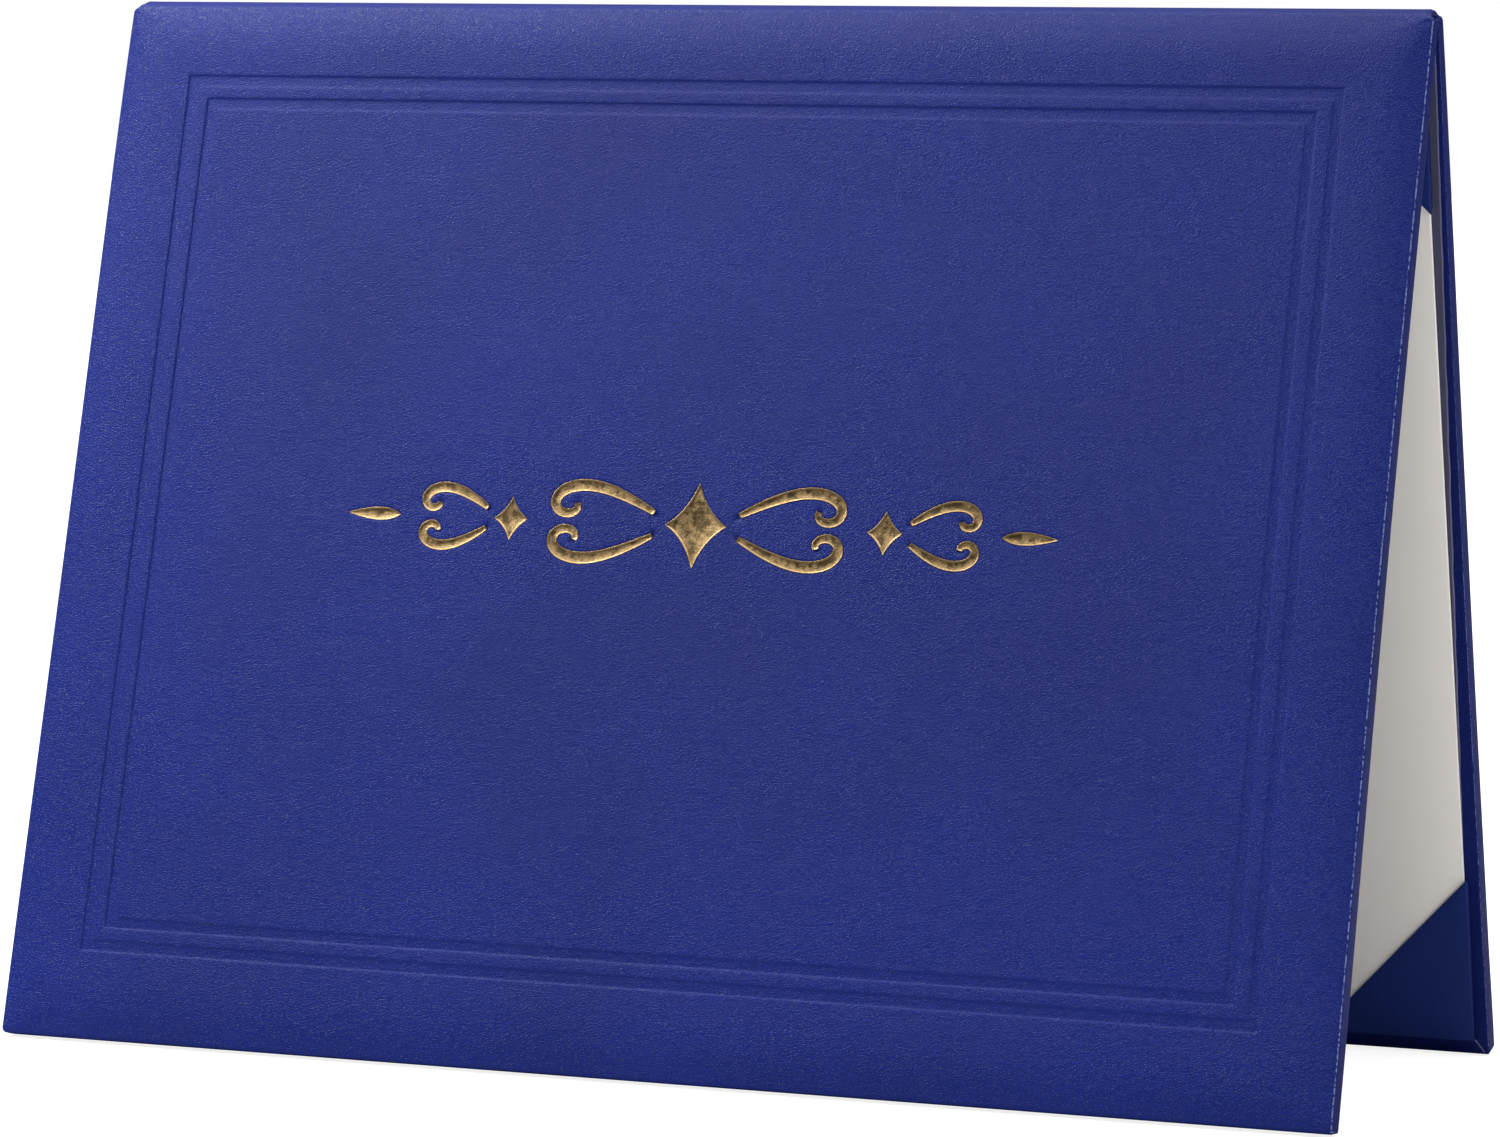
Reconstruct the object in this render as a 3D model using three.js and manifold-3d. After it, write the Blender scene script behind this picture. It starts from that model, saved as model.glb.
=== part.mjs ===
// A padded diploma cover of blue leatherette, standing like a tent with its spine along the top.
// Millimetres, +Z up. X runs along the spine, the front cover faces -Y, and the origin is on the
// surface that the cover stands on, below the middle of the spine.
import * as THREE from "three";
import { mergeVertices } from "three/addons/utils/BufferGeometryUtils.js";
import Module from "manifold-3d";

// Driving dimensions of the whole cover
const coverWidth = 292;
const leanDegrees = 14.4;
const hingeHeight = 218.9;
const spineGap = 1.5;
const cornerRadius = 1.3;
const clearance = 0.25;
const plateCurveSegments = 6;
const stepsPerCorner = 4;
const smallestRingRadius = 0.3;

// Thickness of each layer of a cover
const firstLevel = 0.15;
const pocketThickness = 0.3;
const panelThickness = 0.9;
const liningThickness = 0.2;
const skinThickness = 0.5;
const boardThickness = 1.8;
const paddedThickness = 6.3;

// Soft rolled edge of the padding
const rollWidth = 12;
const rollPower = 2.2;
const shoulderAtSpine = 3.6;
const shoulderAtFoot = 5;
const rollInsets = [12, 9, 6.5, 4.5, 3, 2];
const edgeRadius = 0.8;
const edgeDegrees = [60, 30, 0];
const turnInDepth = 15;
const turnInDepthAtSpine = 2.2;
const innerEdgeRadius = 0.3;
const footPress = 0.55;
const foamSeatInset = 2;
const boardMargin = 0.4;

// Pressed double frame on the front: insets of the four groove walls from the cover's edges
const grooveDepth = 0.3;
const grooveSlope = 0.4;
const frameWalls = [
  { left: 17.0, right: 16.6, spine: 15.9, foot: 18.4 },
  { left: 19.6, right: 18.7, spine: 18.4, foot: 20.8 },
  { left: 22.0, right: 21.8, spine: 20.9, foot: 23.5 },
  { left: 24.5, right: 23.9, spine: 23.4, foot: 25.7 },
];

// Sheets and pockets on the inner faces
const panelMarginSide = 3.8;
const panelTop = 5.8;
const panelBottom = 222.4;
const pocketLeg = 36;
const liningMarginLeft = 2;
const liningMarginRightTop = 1.8;
const liningMarginRightBottom = 3.7;
const liningTop = 4.2;
const liningBottom = 221;

// Spine: a low arch of leatherette with the lining's arch below it
const spineLength = 291;
const spineArchHalfWidth = 5.9;
const spineArchFoot = 0;
const spineArchCrown = 0.6;
const liningArchRadius = 1.7;
const liningArchCentre = -3.3;
const liningArchLength = 284;
const archSteps = 14;

// Gold foil ornament, stamped into the front
const foilCentre = 112;
const foilThickness = 0.12;
const foilRecess = 0.35;
const foilGap = 0.2;
const foilRecessMargin = 0.3;
const lozengePinch = 0.28;
const lozengeTipMargin = 1.6;
const centreLozenge = { x: 0, halfLength: 6.4, halfHeight: 8.6 };
const middleLozenge = { x: 41.5, halfLength: 3.4, halfHeight: 4.2 };
const endNeedle = { start: 67, end: 78, halfHeight: 1.1, swellAt: 0.3, startMargin: 1.2, endMargin: 3 };
const scrollSteps = 30;
const scrollBendPower = 2.6;
const strokeTipHalfWidth = 0.12;
const strokeSwell = { start: 0.05, reach: 0.86, power: 0.8 };
const largeScroll = {
  x: 9.5,
  rise: 2.4,
  headingDegrees: 36,
  length: 26.6,
  stretch: 1.35,
  bendStart: 0.95,
  bendEnd: 43,
  halfWidth: 0.85,
};
const smallScroll = {
  x: 47,
  rise: 2.1,
  headingDegrees: 40,
  length: 19,
  stretch: 1.2,
  bendStart: 1.8,
  bendEnd: 55,
  halfWidth: 0.7,
};

const lean = THREE.MathUtils.degToRad(leanDegrees);
const halfWidth = coverWidth / 2;

// Levels are measured outward from the plane through the hinge line. The back cover carries the
// panel and its pockets, so its own layers start further out than the front cover's.
const pocketLevel = firstLevel;
const panelLevel = pocketLevel + pocketThickness + clearance;
const backLiningLevel = panelLevel + panelThickness + clearance;
const frontLiningLevel = firstLevel;
const frontCoverForm = coverForm(frontLiningLevel + liningThickness + clearance);
const backCoverForm = coverForm(backLiningLevel + liningThickness + clearance);
const hingeShift = ((frontCoverForm.skinLevel - backCoverForm.skinLevel) / 2) * Math.cos(lean);

const leatherette = { color: 0x1d2b8f, roughness: 0.45, metalness: 0 };
const liningPaper = { color: 0x2a2b52, roughness: 0.8, metalness: 0 };
const whiteCard = { color: 0xe9e5e0, roughness: 0.75, metalness: 0 };
const greyBoard = { color: 0x8d8a84, roughness: 0.95, metalness: 0 };
const paddingFoam = { color: 0xd9d6cf, roughness: 1, metalness: 0 };
const goldFoil = { color: 0xb9975a, roughness: 0.35, metalness: 1 };

const wasm = await Module();
wasm.setup();

function finishMesh(name, geometry, finish) {
  const mesh = new THREE.Mesh(geometry, new THREE.MeshStandardMaterial(finish));
  mesh.name = name;
  return mesh;
}

function toSolid(geometry) {
  const bare = geometry.clone();
  bare.deleteAttribute("normal");
  bare.deleteAttribute("uv");
  const merged = mergeVertices(bare, 1e-4);
  return new wasm.Manifold(
    new wasm.Mesh({
      numProp: 3,
      vertProperties: new Float32Array(merged.attributes.position.array),
      triVerts: new Uint32Array(merged.index.array),
    }),
  );
}

function fromSolid(solid) {
  const mesh = solid.getMesh();
  const geometry = new THREE.BufferGeometry();
  geometry.setAttribute("position", new THREE.BufferAttribute(new Float32Array(mesh.vertProperties), 3));
  geometry.setIndex(new THREE.BufferAttribute(new Uint32Array(mesh.triVerts), 1));
  geometry.computeVertexNormals();
  return geometry;
}

// A cover is drawn upright below its hinge line: x along the spine, -z down the cover, -y outward.
function coverPoint(x, down, level) {
  return new THREE.Vector3(x, -level, -down);
}

// How far down the cover a point at this level may reach before it meets the floor.
function floorReach(level) {
  return (hingeHeight + level * Math.sin(lean)) / Math.cos(lean);
}

// The levels and length of one cover. Its soft lower edge is pressed flat by the floor.
function coverForm(skinLevel) {
  return {
    skinLevel,
    faceLevel: skinLevel + paddedThickness,
    length: floorReach(skinLevel) + footPress,
    footFlatTop: skinLevel + footPress / Math.tan(lean),
  };
}

function evenInset(inset, spineInset = inset) {
  return { left: inset, right: inset, spine: spineInset, foot: inset };
}

function shiftInset(wall, shift) {
  return {
    left: wall.left + shift,
    right: wall.right + shift,
    spine: wall.spine + shift,
    foot: wall.foot + shift,
  };
}

// One closed ring of points round the cover, at its own inset from each side.
function coverRing(form, insets, levelAt, floorMargin = 0) {
  const smallest = Math.min(insets.left, insets.right, insets.spine, insets.foot);
  const radius = Math.max(cornerRadius - smallest, smallestRingRadius);
  const left = -halfWidth + insets.left + radius;
  const right = halfWidth - insets.right - radius;
  const top = spineGap + insets.spine + radius;
  const bottom = form.length - insets.foot - radius;
  const corners = [
    { x: right, down: top, start: 0 },
    { x: left, down: top, start: 90 },
    { x: left, down: bottom, start: 180 },
    { x: right, down: bottom, start: 270 },
  ];
  const ring = [];
  for (const corner of corners) {
    for (let step = 0; step <= stepsPerCorner; step += 1) {
      const angle = THREE.MathUtils.degToRad(corner.start + (90 * step) / stepsPerCorner);
      const x = corner.x + radius * Math.cos(angle);
      const down = corner.down - radius * Math.sin(angle);
      const level = levelAt(down);
      ring.push(coverPoint(x, Math.min(down, floorReach(level) - floorMargin), level));
    }
  }
  return ring;
}

// Joins rings of equal length into one closed body, with a flat cap on the first and the last.
function bodyFromRings(rings) {
  const count = rings[0].length;
  const positions = rings.flat();
  const triangles = [];
  for (let row = 0; row < rings.length - 1; row += 1) {
    for (let i = 0; i < count; i += 1) {
      const next = (i + 1) % count;
      const a = row * count + i;
      const b = row * count + next;
      const c = (row + 1) * count + next;
      const d = (row + 1) * count + i;
      triangles.push(a, c, b, a, d, c);
    }
  }
  const last = (rings.length - 1) * count;
  for (let i = 1; i < count - 1; i += 1) {
    triangles.push(0, i, i + 1);
    triangles.push(last, last + i + 1, last + i);
  }
  const geometry = new THREE.BufferGeometry().setFromPoints(positions);
  geometry.setIndex(triangles);
  geometry.computeVertexNormals();
  return geometry;
}

// Level of the outer surface where the padding meets the rounded edge; it thickens towards the foot.
function shoulderLevel(form, down) {
  const along = THREE.MathUtils.clamp((down - spineGap) / (form.length - spineGap), 0, 1);
  return form.skinLevel + THREE.MathUtils.lerp(shoulderAtSpine, shoulderAtFoot, along);
}

function rollLevel(form, inset, down) {
  const rise = 1 - Math.pow(1 - Math.min(inset / rollWidth, 1), rollPower);
  return THREE.MathUtils.lerp(shoulderLevel(form, down), form.faceLevel, rise);
}

// Rings of the outer surface from the middle of the face to the rounded edge, sunk by some depth.
function faceRings(form, sunk, framed, floorMargin) {
  const flat = () => form.faceLevel - sunk;
  const pressed = () => form.faceLevel - grooveDepth - sunk;
  const rings = [];
  if (framed) {
    // The inner groove's two walls come first, then the outer groove's.
    for (const groove of [2, 0]) {
      const outerWall = frameWalls[groove];
      const innerWall = frameWalls[groove + 1];
      rings.push(coverRing(form, innerWall, flat));
      rings.push(coverRing(form, shiftInset(innerWall, -grooveSlope), pressed));
      rings.push(coverRing(form, shiftInset(outerWall, grooveSlope), pressed));
      rings.push(coverRing(form, outerWall, flat));
    }
  }
  for (const inset of rollInsets) {
    const levelAt = (down) => rollLevel(form, inset, down) - sunk;
    rings.push(coverRing(form, evenInset(inset), levelAt, floorMargin));
  }
  return rings;
}

function roundedEdgeRings(form, sunk, floorMargin) {
  const rings = [];
  for (const degrees of edgeDegrees) {
    const angle = THREE.MathUtils.degToRad(degrees);
    const inset = edgeRadius * (1 - Math.cos(angle)) + sunk;
    const drop = edgeRadius * (1 - Math.sin(angle)) + sunk * Math.sin(angle);
    const levelAt = (down) => rollLevel(form, edgeRadius, down) - drop;
    rings.push(coverRing(form, evenInset(inset), levelAt, floorMargin));
  }
  return rings;
}

// The leatherette of one cover: over the face, round the edges and turned in on the inner side.
function coverSkin(form, framed) {
  const outside = () => form.skinLevel;
  const inside = () => form.skinLevel + skinThickness;
  const turnIn = evenInset(turnInDepth, turnInDepthAtSpine);
  const rings = [
    ...faceRings(form, 0, framed, 0),
    ...roundedEdgeRings(form, 0, 0),
    coverRing(form, evenInset(0), () => form.footFlatTop),
    coverRing(form, evenInset(0), () => form.skinLevel + innerEdgeRadius),
    coverRing(form, evenInset(innerEdgeRadius), outside),
    coverRing(form, turnIn, outside),
    coverRing(form, turnIn, inside),
    coverRing(form, evenInset(skinThickness + clearance / 2), inside, skinThickness),
    coverRing(form, evenInset(skinThickness), () => form.footFlatTop, skinThickness),
    ...roundedEdgeRings(form, skinThickness, skinThickness).reverse(),
    ...faceRings(form, skinThickness, framed, skinThickness).reverse(),
  ];
  return bodyFromRings(rings);
}

// The foam pad: flat on the board, and following the skin's inner surface with a small gap.
function foamPad(form, framed) {
  const bottom = form.skinLevel + skinThickness + boardThickness + 2 * clearance;
  const sunk = skinThickness + clearance;
  const rings = faceRings(form, sunk, framed, sunk);
  rings.push(coverRing(form, evenInset(foamSeatInset), () => bottom, sunk));
  return bodyFromRings(rings);
}

// A flat plate of one outline, lying in a cover's plane at one level.
function plateFromShape(shape, level, thickness) {
  const settings = { depth: thickness, bevelEnabled: false, curveSegments: plateCurveSegments };
  const geometry = new THREE.ExtrudeGeometry(shape, settings);
  geometry.rotateX(Math.PI / 2);
  geometry.translate(0, -level, 0);
  return geometry;
}

function shapeFromPoints(points) {
  return new THREE.Shape(points.map(([x, down]) => new THREE.Vector2(x, -down)));
}

function stiffBoard(form) {
  const inset = skinThickness + clearance + boardMargin;
  const foot = form.length - inset - clearance;
  const outline = shapeFromPoints([
    [-halfWidth + inset, spineGap + inset],
    [halfWidth - inset, spineGap + inset],
    [halfWidth - inset, foot],
    [-halfWidth + inset, foot],
  ]);
  return plateFromShape(outline, form.skinLevel + skinThickness + clearance, boardThickness);
}

// The lining is cut a little askew, so its right edge leans across the margin beside the panel.
function liningSheet(level, rightSign) {
  const wide = (margin) => rightSign * (halfWidth - margin);
  const outline = shapeFromPoints([
    [-wide(liningMarginLeft), liningTop],
    [wide(liningMarginRightTop), liningTop],
    [wide(liningMarginRightBottom), liningBottom],
    [-wide(liningMarginLeft), liningBottom],
  ]);
  return plateFromShape(outline, level, liningThickness);
}

function whitePanel() {
  const side = halfWidth - panelMarginSide;
  const outline = shapeFromPoints([
    [-side, panelTop],
    [side, panelTop],
    [side, panelBottom],
    [-side, panelBottom],
  ]);
  return plateFromShape(outline, panelLevel, panelThickness);
}

// A corner pocket: a triangle across the panel's corner, folded down over the panel's two edges.
function cornerPocket(xSign, atFoot) {
  const reach = clearance + pocketThickness;
  const cornerX = xSign * (halfWidth - panelMarginSide + reach);
  const cornerDown = atFoot ? panelBottom + reach : panelTop - reach;
  const downSign = atFoot ? 1 : -1;
  const leg = pocketLeg + reach;
  const triangle = shapeFromPoints([
    [cornerX, cornerDown],
    [cornerX - xSign * leg, cornerDown],
    [cornerX, cornerDown - downSign * leg],
  ]);
  const sideFlange = shapeFromPoints([
    [cornerX, cornerDown],
    [cornerX - xSign * pocketThickness, cornerDown],
    [cornerX - xSign * pocketThickness, cornerDown - downSign * (leg - pocketThickness)],
    [cornerX, cornerDown - downSign * leg],
  ]);
  const endFlange = shapeFromPoints([
    [cornerX, cornerDown],
    [cornerX, cornerDown - downSign * pocketThickness],
    [cornerX - xSign * (leg - pocketThickness), cornerDown - downSign * pocketThickness],
    [cornerX - xSign * leg, cornerDown],
  ]);
  const flangeHeight = panelLevel + panelThickness - pocketLevel;
  const face = toSolid(plateFromShape(triangle, pocketLevel, pocketThickness));
  const side = toSolid(plateFromShape(sideFlange, pocketLevel, flangeHeight));
  const end = toSolid(plateFromShape(endFlange, pocketLevel, flangeHeight));
  return fromSolid(face.add(side).add(end));
}

// A concave four-pointed lozenge.
function lozengeShape(lozenge, xSign, margin) {
  const middle = xSign * lozenge.x;
  const wide = lozenge.halfLength + lozengeTipMargin * margin;
  const tall = lozenge.halfHeight + lozengeTipMargin * margin;
  const bendWide = wide * lozengePinch + margin;
  const bendTall = tall * lozengePinch + margin;
  const shape = new THREE.Shape();
  shape.moveTo(middle, -tall);
  shape.quadraticCurveTo(middle + bendWide, -bendTall, middle + wide, 0);
  shape.quadraticCurveTo(middle + bendWide, bendTall, middle, tall);
  shape.quadraticCurveTo(middle - bendWide, bendTall, middle - wide, 0);
  shape.quadraticCurveTo(middle - bendWide, -bendTall, middle, -tall);
  return shape;
}

// A tapered stroke along a line that bends harder and harder towards its end, closing in a curl.
function scrollShape(scroll, xSign, riseSign, margin) {
  const centre = [];
  let heading = THREE.MathUtils.degToRad(scroll.headingDegrees);
  let x = scroll.x;
  let rise = scroll.rise;
  const stepLength = scroll.length / scrollSteps;
  for (let i = 0; i <= scrollSteps; i += 1) {
    const along = i / scrollSteps;
    centre.push({ x, rise, heading, along });
    const bendDegrees = THREE.MathUtils.lerp(scroll.bendStart, scroll.bendEnd, along ** scrollBendPower);
    heading -= THREE.MathUtils.degToRad(bendDegrees) * stepLength;
    x += Math.cos(heading) * stepLength * scroll.stretch;
    rise += Math.sin(heading) * stepLength;
  }
  const edge = (point, side) => {
    const phase = Math.PI * (point.along * strokeSwell.reach + strokeSwell.start);
    const half = margin + strokeTipHalfWidth + scroll.halfWidth * Math.sin(phase) ** strokeSwell.power;
    const across = point.heading + (side * Math.PI) / 2;
    const edgeX = point.x + half * Math.cos(across);
    const edgeRise = point.rise + half * Math.sin(across);
    return [xSign * edgeX, -riseSign * edgeRise];
  };
  const outline = [
    ...centre.map((point) => edge(point, 1)),
    ...centre.toReversed().map((point) => edge(point, -1)),
  ];
  return shapeFromPoints(outline);
}

function needleShape(xSign, margin) {
  const middle = THREE.MathUtils.lerp(endNeedle.start, endNeedle.end, endNeedle.swellAt);
  const from = xSign * (endNeedle.start - endNeedle.startMargin * margin);
  const to = xSign * (endNeedle.end + endNeedle.endMargin * margin);
  const bend = 2 * (endNeedle.halfHeight + margin);
  const shape = new THREE.Shape();
  shape.moveTo(from, 0);
  shape.quadraticCurveTo(xSign * middle, bend, to, 0);
  shape.quadraticCurveTo(xSign * middle, -bend, from, 0);
  return shape;
}

// Every patch of foil, as a name and a function that draws it with some margin round it.
function foilPatches() {
  const patches = [];
  patches.push({
    name: "foil_centre_lozenge",
    draw: (margin) => lozengeShape(centreLozenge, 1, margin),
  });
  for (const [side, xSign] of [["left", -1], ["right", 1]]) {
    for (const [place, riseSign] of [["upper", 1], ["lower", -1]]) {
      patches.push({
        name: `foil_large_scroll_${place}_${side}`,
        draw: (margin) => scrollShape(largeScroll, xSign, riseSign, margin),
      });
      patches.push({
        name: `foil_small_scroll_${place}_${side}`,
        draw: (margin) => scrollShape(smallScroll, xSign, riseSign, margin),
      });
    }
    patches.push({
      name: `foil_middle_lozenge_${side}`,
      draw: (margin) => lozengeShape(middleLozenge, xSign, margin),
    });
    patches.push({
      name: `foil_end_needle_${side}`,
      draw: (margin) => needleShape(xSign, margin),
    });
  }
  return patches;
}

// The patches lie in the plane of the front cover's face, at a height above or below it.
function foilPlate(patch, margin, height, thickness) {
  const level = frontCoverForm.faceLevel + height;
  const geometry = plateFromShape(patch.draw(margin), level, thickness);
  geometry.translate(0, 0, -foilCentre);
  return geometry;
}

function frontSkinWithRecesses(patches) {
  let skin = toSolid(coverSkin(frontCoverForm, true));
  for (const patch of patches) {
    const cutter = foilPlate(patch, foilRecessMargin, -foilRecess, foilRecess + 1);
    skin = skin.subtract(toSolid(cutter));
  }
  return fromSolid(skin);
}

// A strip bent into an arch across the hinge line and drawn out along the spine.
function archStrip(radius, thickness, halfAngle, centreRise, length) {
  const shape = new THREE.Shape();
  shape.absarc(0, 0, radius + thickness, Math.PI / 2 - halfAngle, Math.PI / 2 + halfAngle, false);
  shape.absarc(0, 0, radius, Math.PI / 2 + halfAngle, Math.PI / 2 - halfAngle, true);
  const settings = { depth: length, bevelEnabled: false, curveSegments: archSteps };
  const geometry = new THREE.ExtrudeGeometry(shape, settings);
  geometry.translate(0, centreRise, -length / 2);
  geometry.rotateX(Math.PI / 2);
  geometry.rotateZ(Math.PI / 2);
  return geometry;
}

function spineSkin() {
  const sagitta = spineArchCrown - spineArchFoot;
  const radius = (spineArchHalfWidth ** 2 + sagitta ** 2) / (2 * sagitta);
  const halfAngle = Math.asin(spineArchHalfWidth / radius);
  return archStrip(radius, skinThickness, halfAngle, spineArchCrown - radius, spineLength);
}

function spineLining() {
  const radius = liningArchRadius - liningThickness;
  return archStrip(radius, liningThickness, Math.PI / 2, liningArchCentre, liningArchLength);
}

function frontCover() {
  const cover = new THREE.Group();
  const patches = foilPatches();
  cover.add(finishMesh("front_cover_skin", frontSkinWithRecesses(patches), leatherette));
  cover.add(finishMesh("front_foam_pad", foamPad(frontCoverForm, true), paddingFoam));
  cover.add(finishMesh("front_board", stiffBoard(frontCoverForm), greyBoard));
  cover.add(finishMesh("front_lining", liningSheet(frontLiningLevel, 1), liningPaper));
  for (const patch of patches) {
    const plate = foilPlate(patch, 0, foilGap - foilRecess, foilThickness);
    cover.add(finishMesh(patch.name, plate, goldFoil));
  }
  cover.rotation.x = -lean;
  return cover;
}

function backCover() {
  const cover = new THREE.Group();
  cover.add(finishMesh("back_cover_skin", coverSkin(backCoverForm, false), leatherette));
  cover.add(finishMesh("back_foam_pad", foamPad(backCoverForm, false), paddingFoam));
  cover.add(finishMesh("back_board", stiffBoard(backCoverForm), greyBoard));
  cover.add(finishMesh("back_lining", liningSheet(backLiningLevel, -1), liningPaper));
  cover.add(finishMesh("back_panel", whitePanel(), whiteCard));
  // The back cover is turned half round, so its own left is the object's right.
  for (const [side, xSign] of [["right", -1], ["left", 1]]) {
    cover.add(finishMesh(`back_pocket_upper_${side}`, cornerPocket(xSign, false), leatherette));
    cover.add(finishMesh(`back_pocket_lower_${side}`, cornerPocket(xSign, true), leatherette));
  }
  cover.rotation.x = -lean;
  const turned = new THREE.Group();
  turned.add(cover);
  turned.rotation.z = Math.PI;
  return turned;
}

const diplomaCover = new THREE.Group();
const hinge = new THREE.Group();
hinge.position.set(0, hingeShift, hingeHeight);
hinge.add(frontCover());
hinge.add(backCover());
diplomaCover.add(hinge);

// The spine's leatherette and lining arch over the middle between the two covers.
const spine = new THREE.Group();
spine.position.z = hingeHeight;
spine.add(finishMesh("spine_skin", spineSkin(), leatherette));
spine.add(finishMesh("spine_lining", spineLining(), liningPaper));
diplomaCover.add(spine);

export default diplomaCover;
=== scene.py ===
"""A padded diploma cover of blue leatherette, standing as a tent on its two lower edges.

The front cover leans towards the camera and carries a pressed double frame and a gold foil
ornament. The inside of the back cover shows a white panel in four corner pockets. Sizes in the
fields are millimetres, and they become metres where a mesh is made.
"""
import logging
import math
from collections.abc import Callable, Sequence
from dataclasses import dataclass
from enum import Enum
from functools import partial

import bmesh
import bpy
import numpy as np
from mathutils import Matrix, Vector
from mathutils.geometry import delaunay_2d_cdt


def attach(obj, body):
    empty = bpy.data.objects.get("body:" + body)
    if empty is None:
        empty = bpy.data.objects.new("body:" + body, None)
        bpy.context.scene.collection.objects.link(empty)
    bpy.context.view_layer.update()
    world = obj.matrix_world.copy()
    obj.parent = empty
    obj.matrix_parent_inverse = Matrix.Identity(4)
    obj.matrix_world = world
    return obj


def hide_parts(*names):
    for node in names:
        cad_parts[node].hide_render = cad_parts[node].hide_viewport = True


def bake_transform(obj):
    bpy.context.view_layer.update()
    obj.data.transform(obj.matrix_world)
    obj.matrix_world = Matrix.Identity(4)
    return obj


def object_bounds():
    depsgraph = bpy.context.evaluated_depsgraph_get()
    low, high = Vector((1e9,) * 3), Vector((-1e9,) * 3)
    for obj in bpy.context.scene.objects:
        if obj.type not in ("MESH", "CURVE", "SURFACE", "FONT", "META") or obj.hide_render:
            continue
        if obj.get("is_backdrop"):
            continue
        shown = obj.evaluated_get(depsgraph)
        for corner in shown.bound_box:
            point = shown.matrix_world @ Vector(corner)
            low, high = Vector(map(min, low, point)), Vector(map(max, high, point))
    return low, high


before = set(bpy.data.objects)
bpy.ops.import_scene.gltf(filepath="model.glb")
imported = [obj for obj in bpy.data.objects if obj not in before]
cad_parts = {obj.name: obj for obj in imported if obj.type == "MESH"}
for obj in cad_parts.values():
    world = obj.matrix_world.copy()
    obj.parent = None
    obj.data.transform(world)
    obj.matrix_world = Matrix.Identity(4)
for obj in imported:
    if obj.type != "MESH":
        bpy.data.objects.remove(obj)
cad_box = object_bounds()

MM = 0.001
LOG = logging.getLogger("diploma_cover")

FLOAT, VECTOR = "NodeSocketFloat", "NodeSocketVector"

Level = Callable[[np.ndarray, np.ndarray], np.ndarray]
Pairs = tuple[tuple[float, float], ...]


class Cover(Enum):
    """The two stiff covers, by the name of the body that each one rides on."""

    FRONT = "front"
    BACK = "back"


class Corner(Enum):
    """The four corners of the white panel, as (side of X, whether at the foot, node)."""

    UPPER_RIGHT = (1, False, "back_pocket_upper_right")
    LOWER_RIGHT = (1, True, "back_pocket_lower_right")
    UPPER_LEFT = (-1, False, "back_pocket_upper_left")
    LOWER_LEFT = (-1, True, "back_pocket_lower_left")


@dataclass(frozen=True)
class Tent:
    """How the two covers lean against each other."""

    lean_degrees: float = 14.4
    hinge_height: float = 218.9
    hinge_shift: float = -0.8233

    @property
    def lean(self) -> float:
        """The lean of each cover in radians."""
        return math.radians(self.lean_degrees)

    def place(self, cover: Cover, x: np.ndarray, down: np.ndarray, level: np.ndarray) -> np.ndarray:
        """Turns points of one cover's plane into points of the shared frame.

        Args:
            cover: the cover that the points belong to.
            x: places along the spine, positive to the object's right.
            down: distances down the cover from the hinge line.
            level: distances outward from the plane through the hinge line.

        Returns:
            An array of points in metres, one row each.
        """
        outward = -1.0 if cover is Cover.FRONT else 1.0
        cosine, sine = math.cos(self.lean), math.sin(self.lean)
        y = self.hinge_shift + outward * (level * cosine + down * sine)
        z = self.hinge_height - down * cosine + level * sine
        return np.stack([x, y, z], axis=-1) * MM

    def floor_reach(self, level: np.ndarray) -> np.ndarray:
        """How far down a cover a point at this level may reach before it meets the floor."""
        return (self.hinge_height + level * math.sin(self.lean)) / math.cos(self.lean)


@dataclass(frozen=True)
class Insets:
    """Distances in from the four edges of a cover."""

    left: float
    right: float
    spine: float
    foot: float

    @classmethod
    def even(cls, inset: float, spine: float | None = None) -> "Insets":
        """The same distance from every edge, unless the spine's edge has its own."""
        return cls(inset, inset, inset if spine is None else spine, inset)

    def shifted(self, amount: float) -> "Insets":
        """The same outline moved further in by an amount."""
        return Insets(self.left + amount, self.right + amount, self.spine + amount, self.foot + amount)


@dataclass(frozen=True)
class RingSteps:
    """How many points a ring has along the spine, down a side and round a corner."""

    along: int = 150
    down: int = 116
    corner: int = 6

    @property
    def total(self) -> int:
        """The number of points in one ring."""
        return 2 * (self.along + self.down) + 4 * self.corner

    def seam_share(self) -> np.ndarray:
        """1 at the middle point of each corner and 0 elsewhere, for the mitred seams."""
        share = np.zeros(self.total)
        start = 0
        for side in (self.along, self.down, self.along, self.down):
            share[start + self.corner // 2] = 1.0
            start += self.corner + side
        return share


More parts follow.
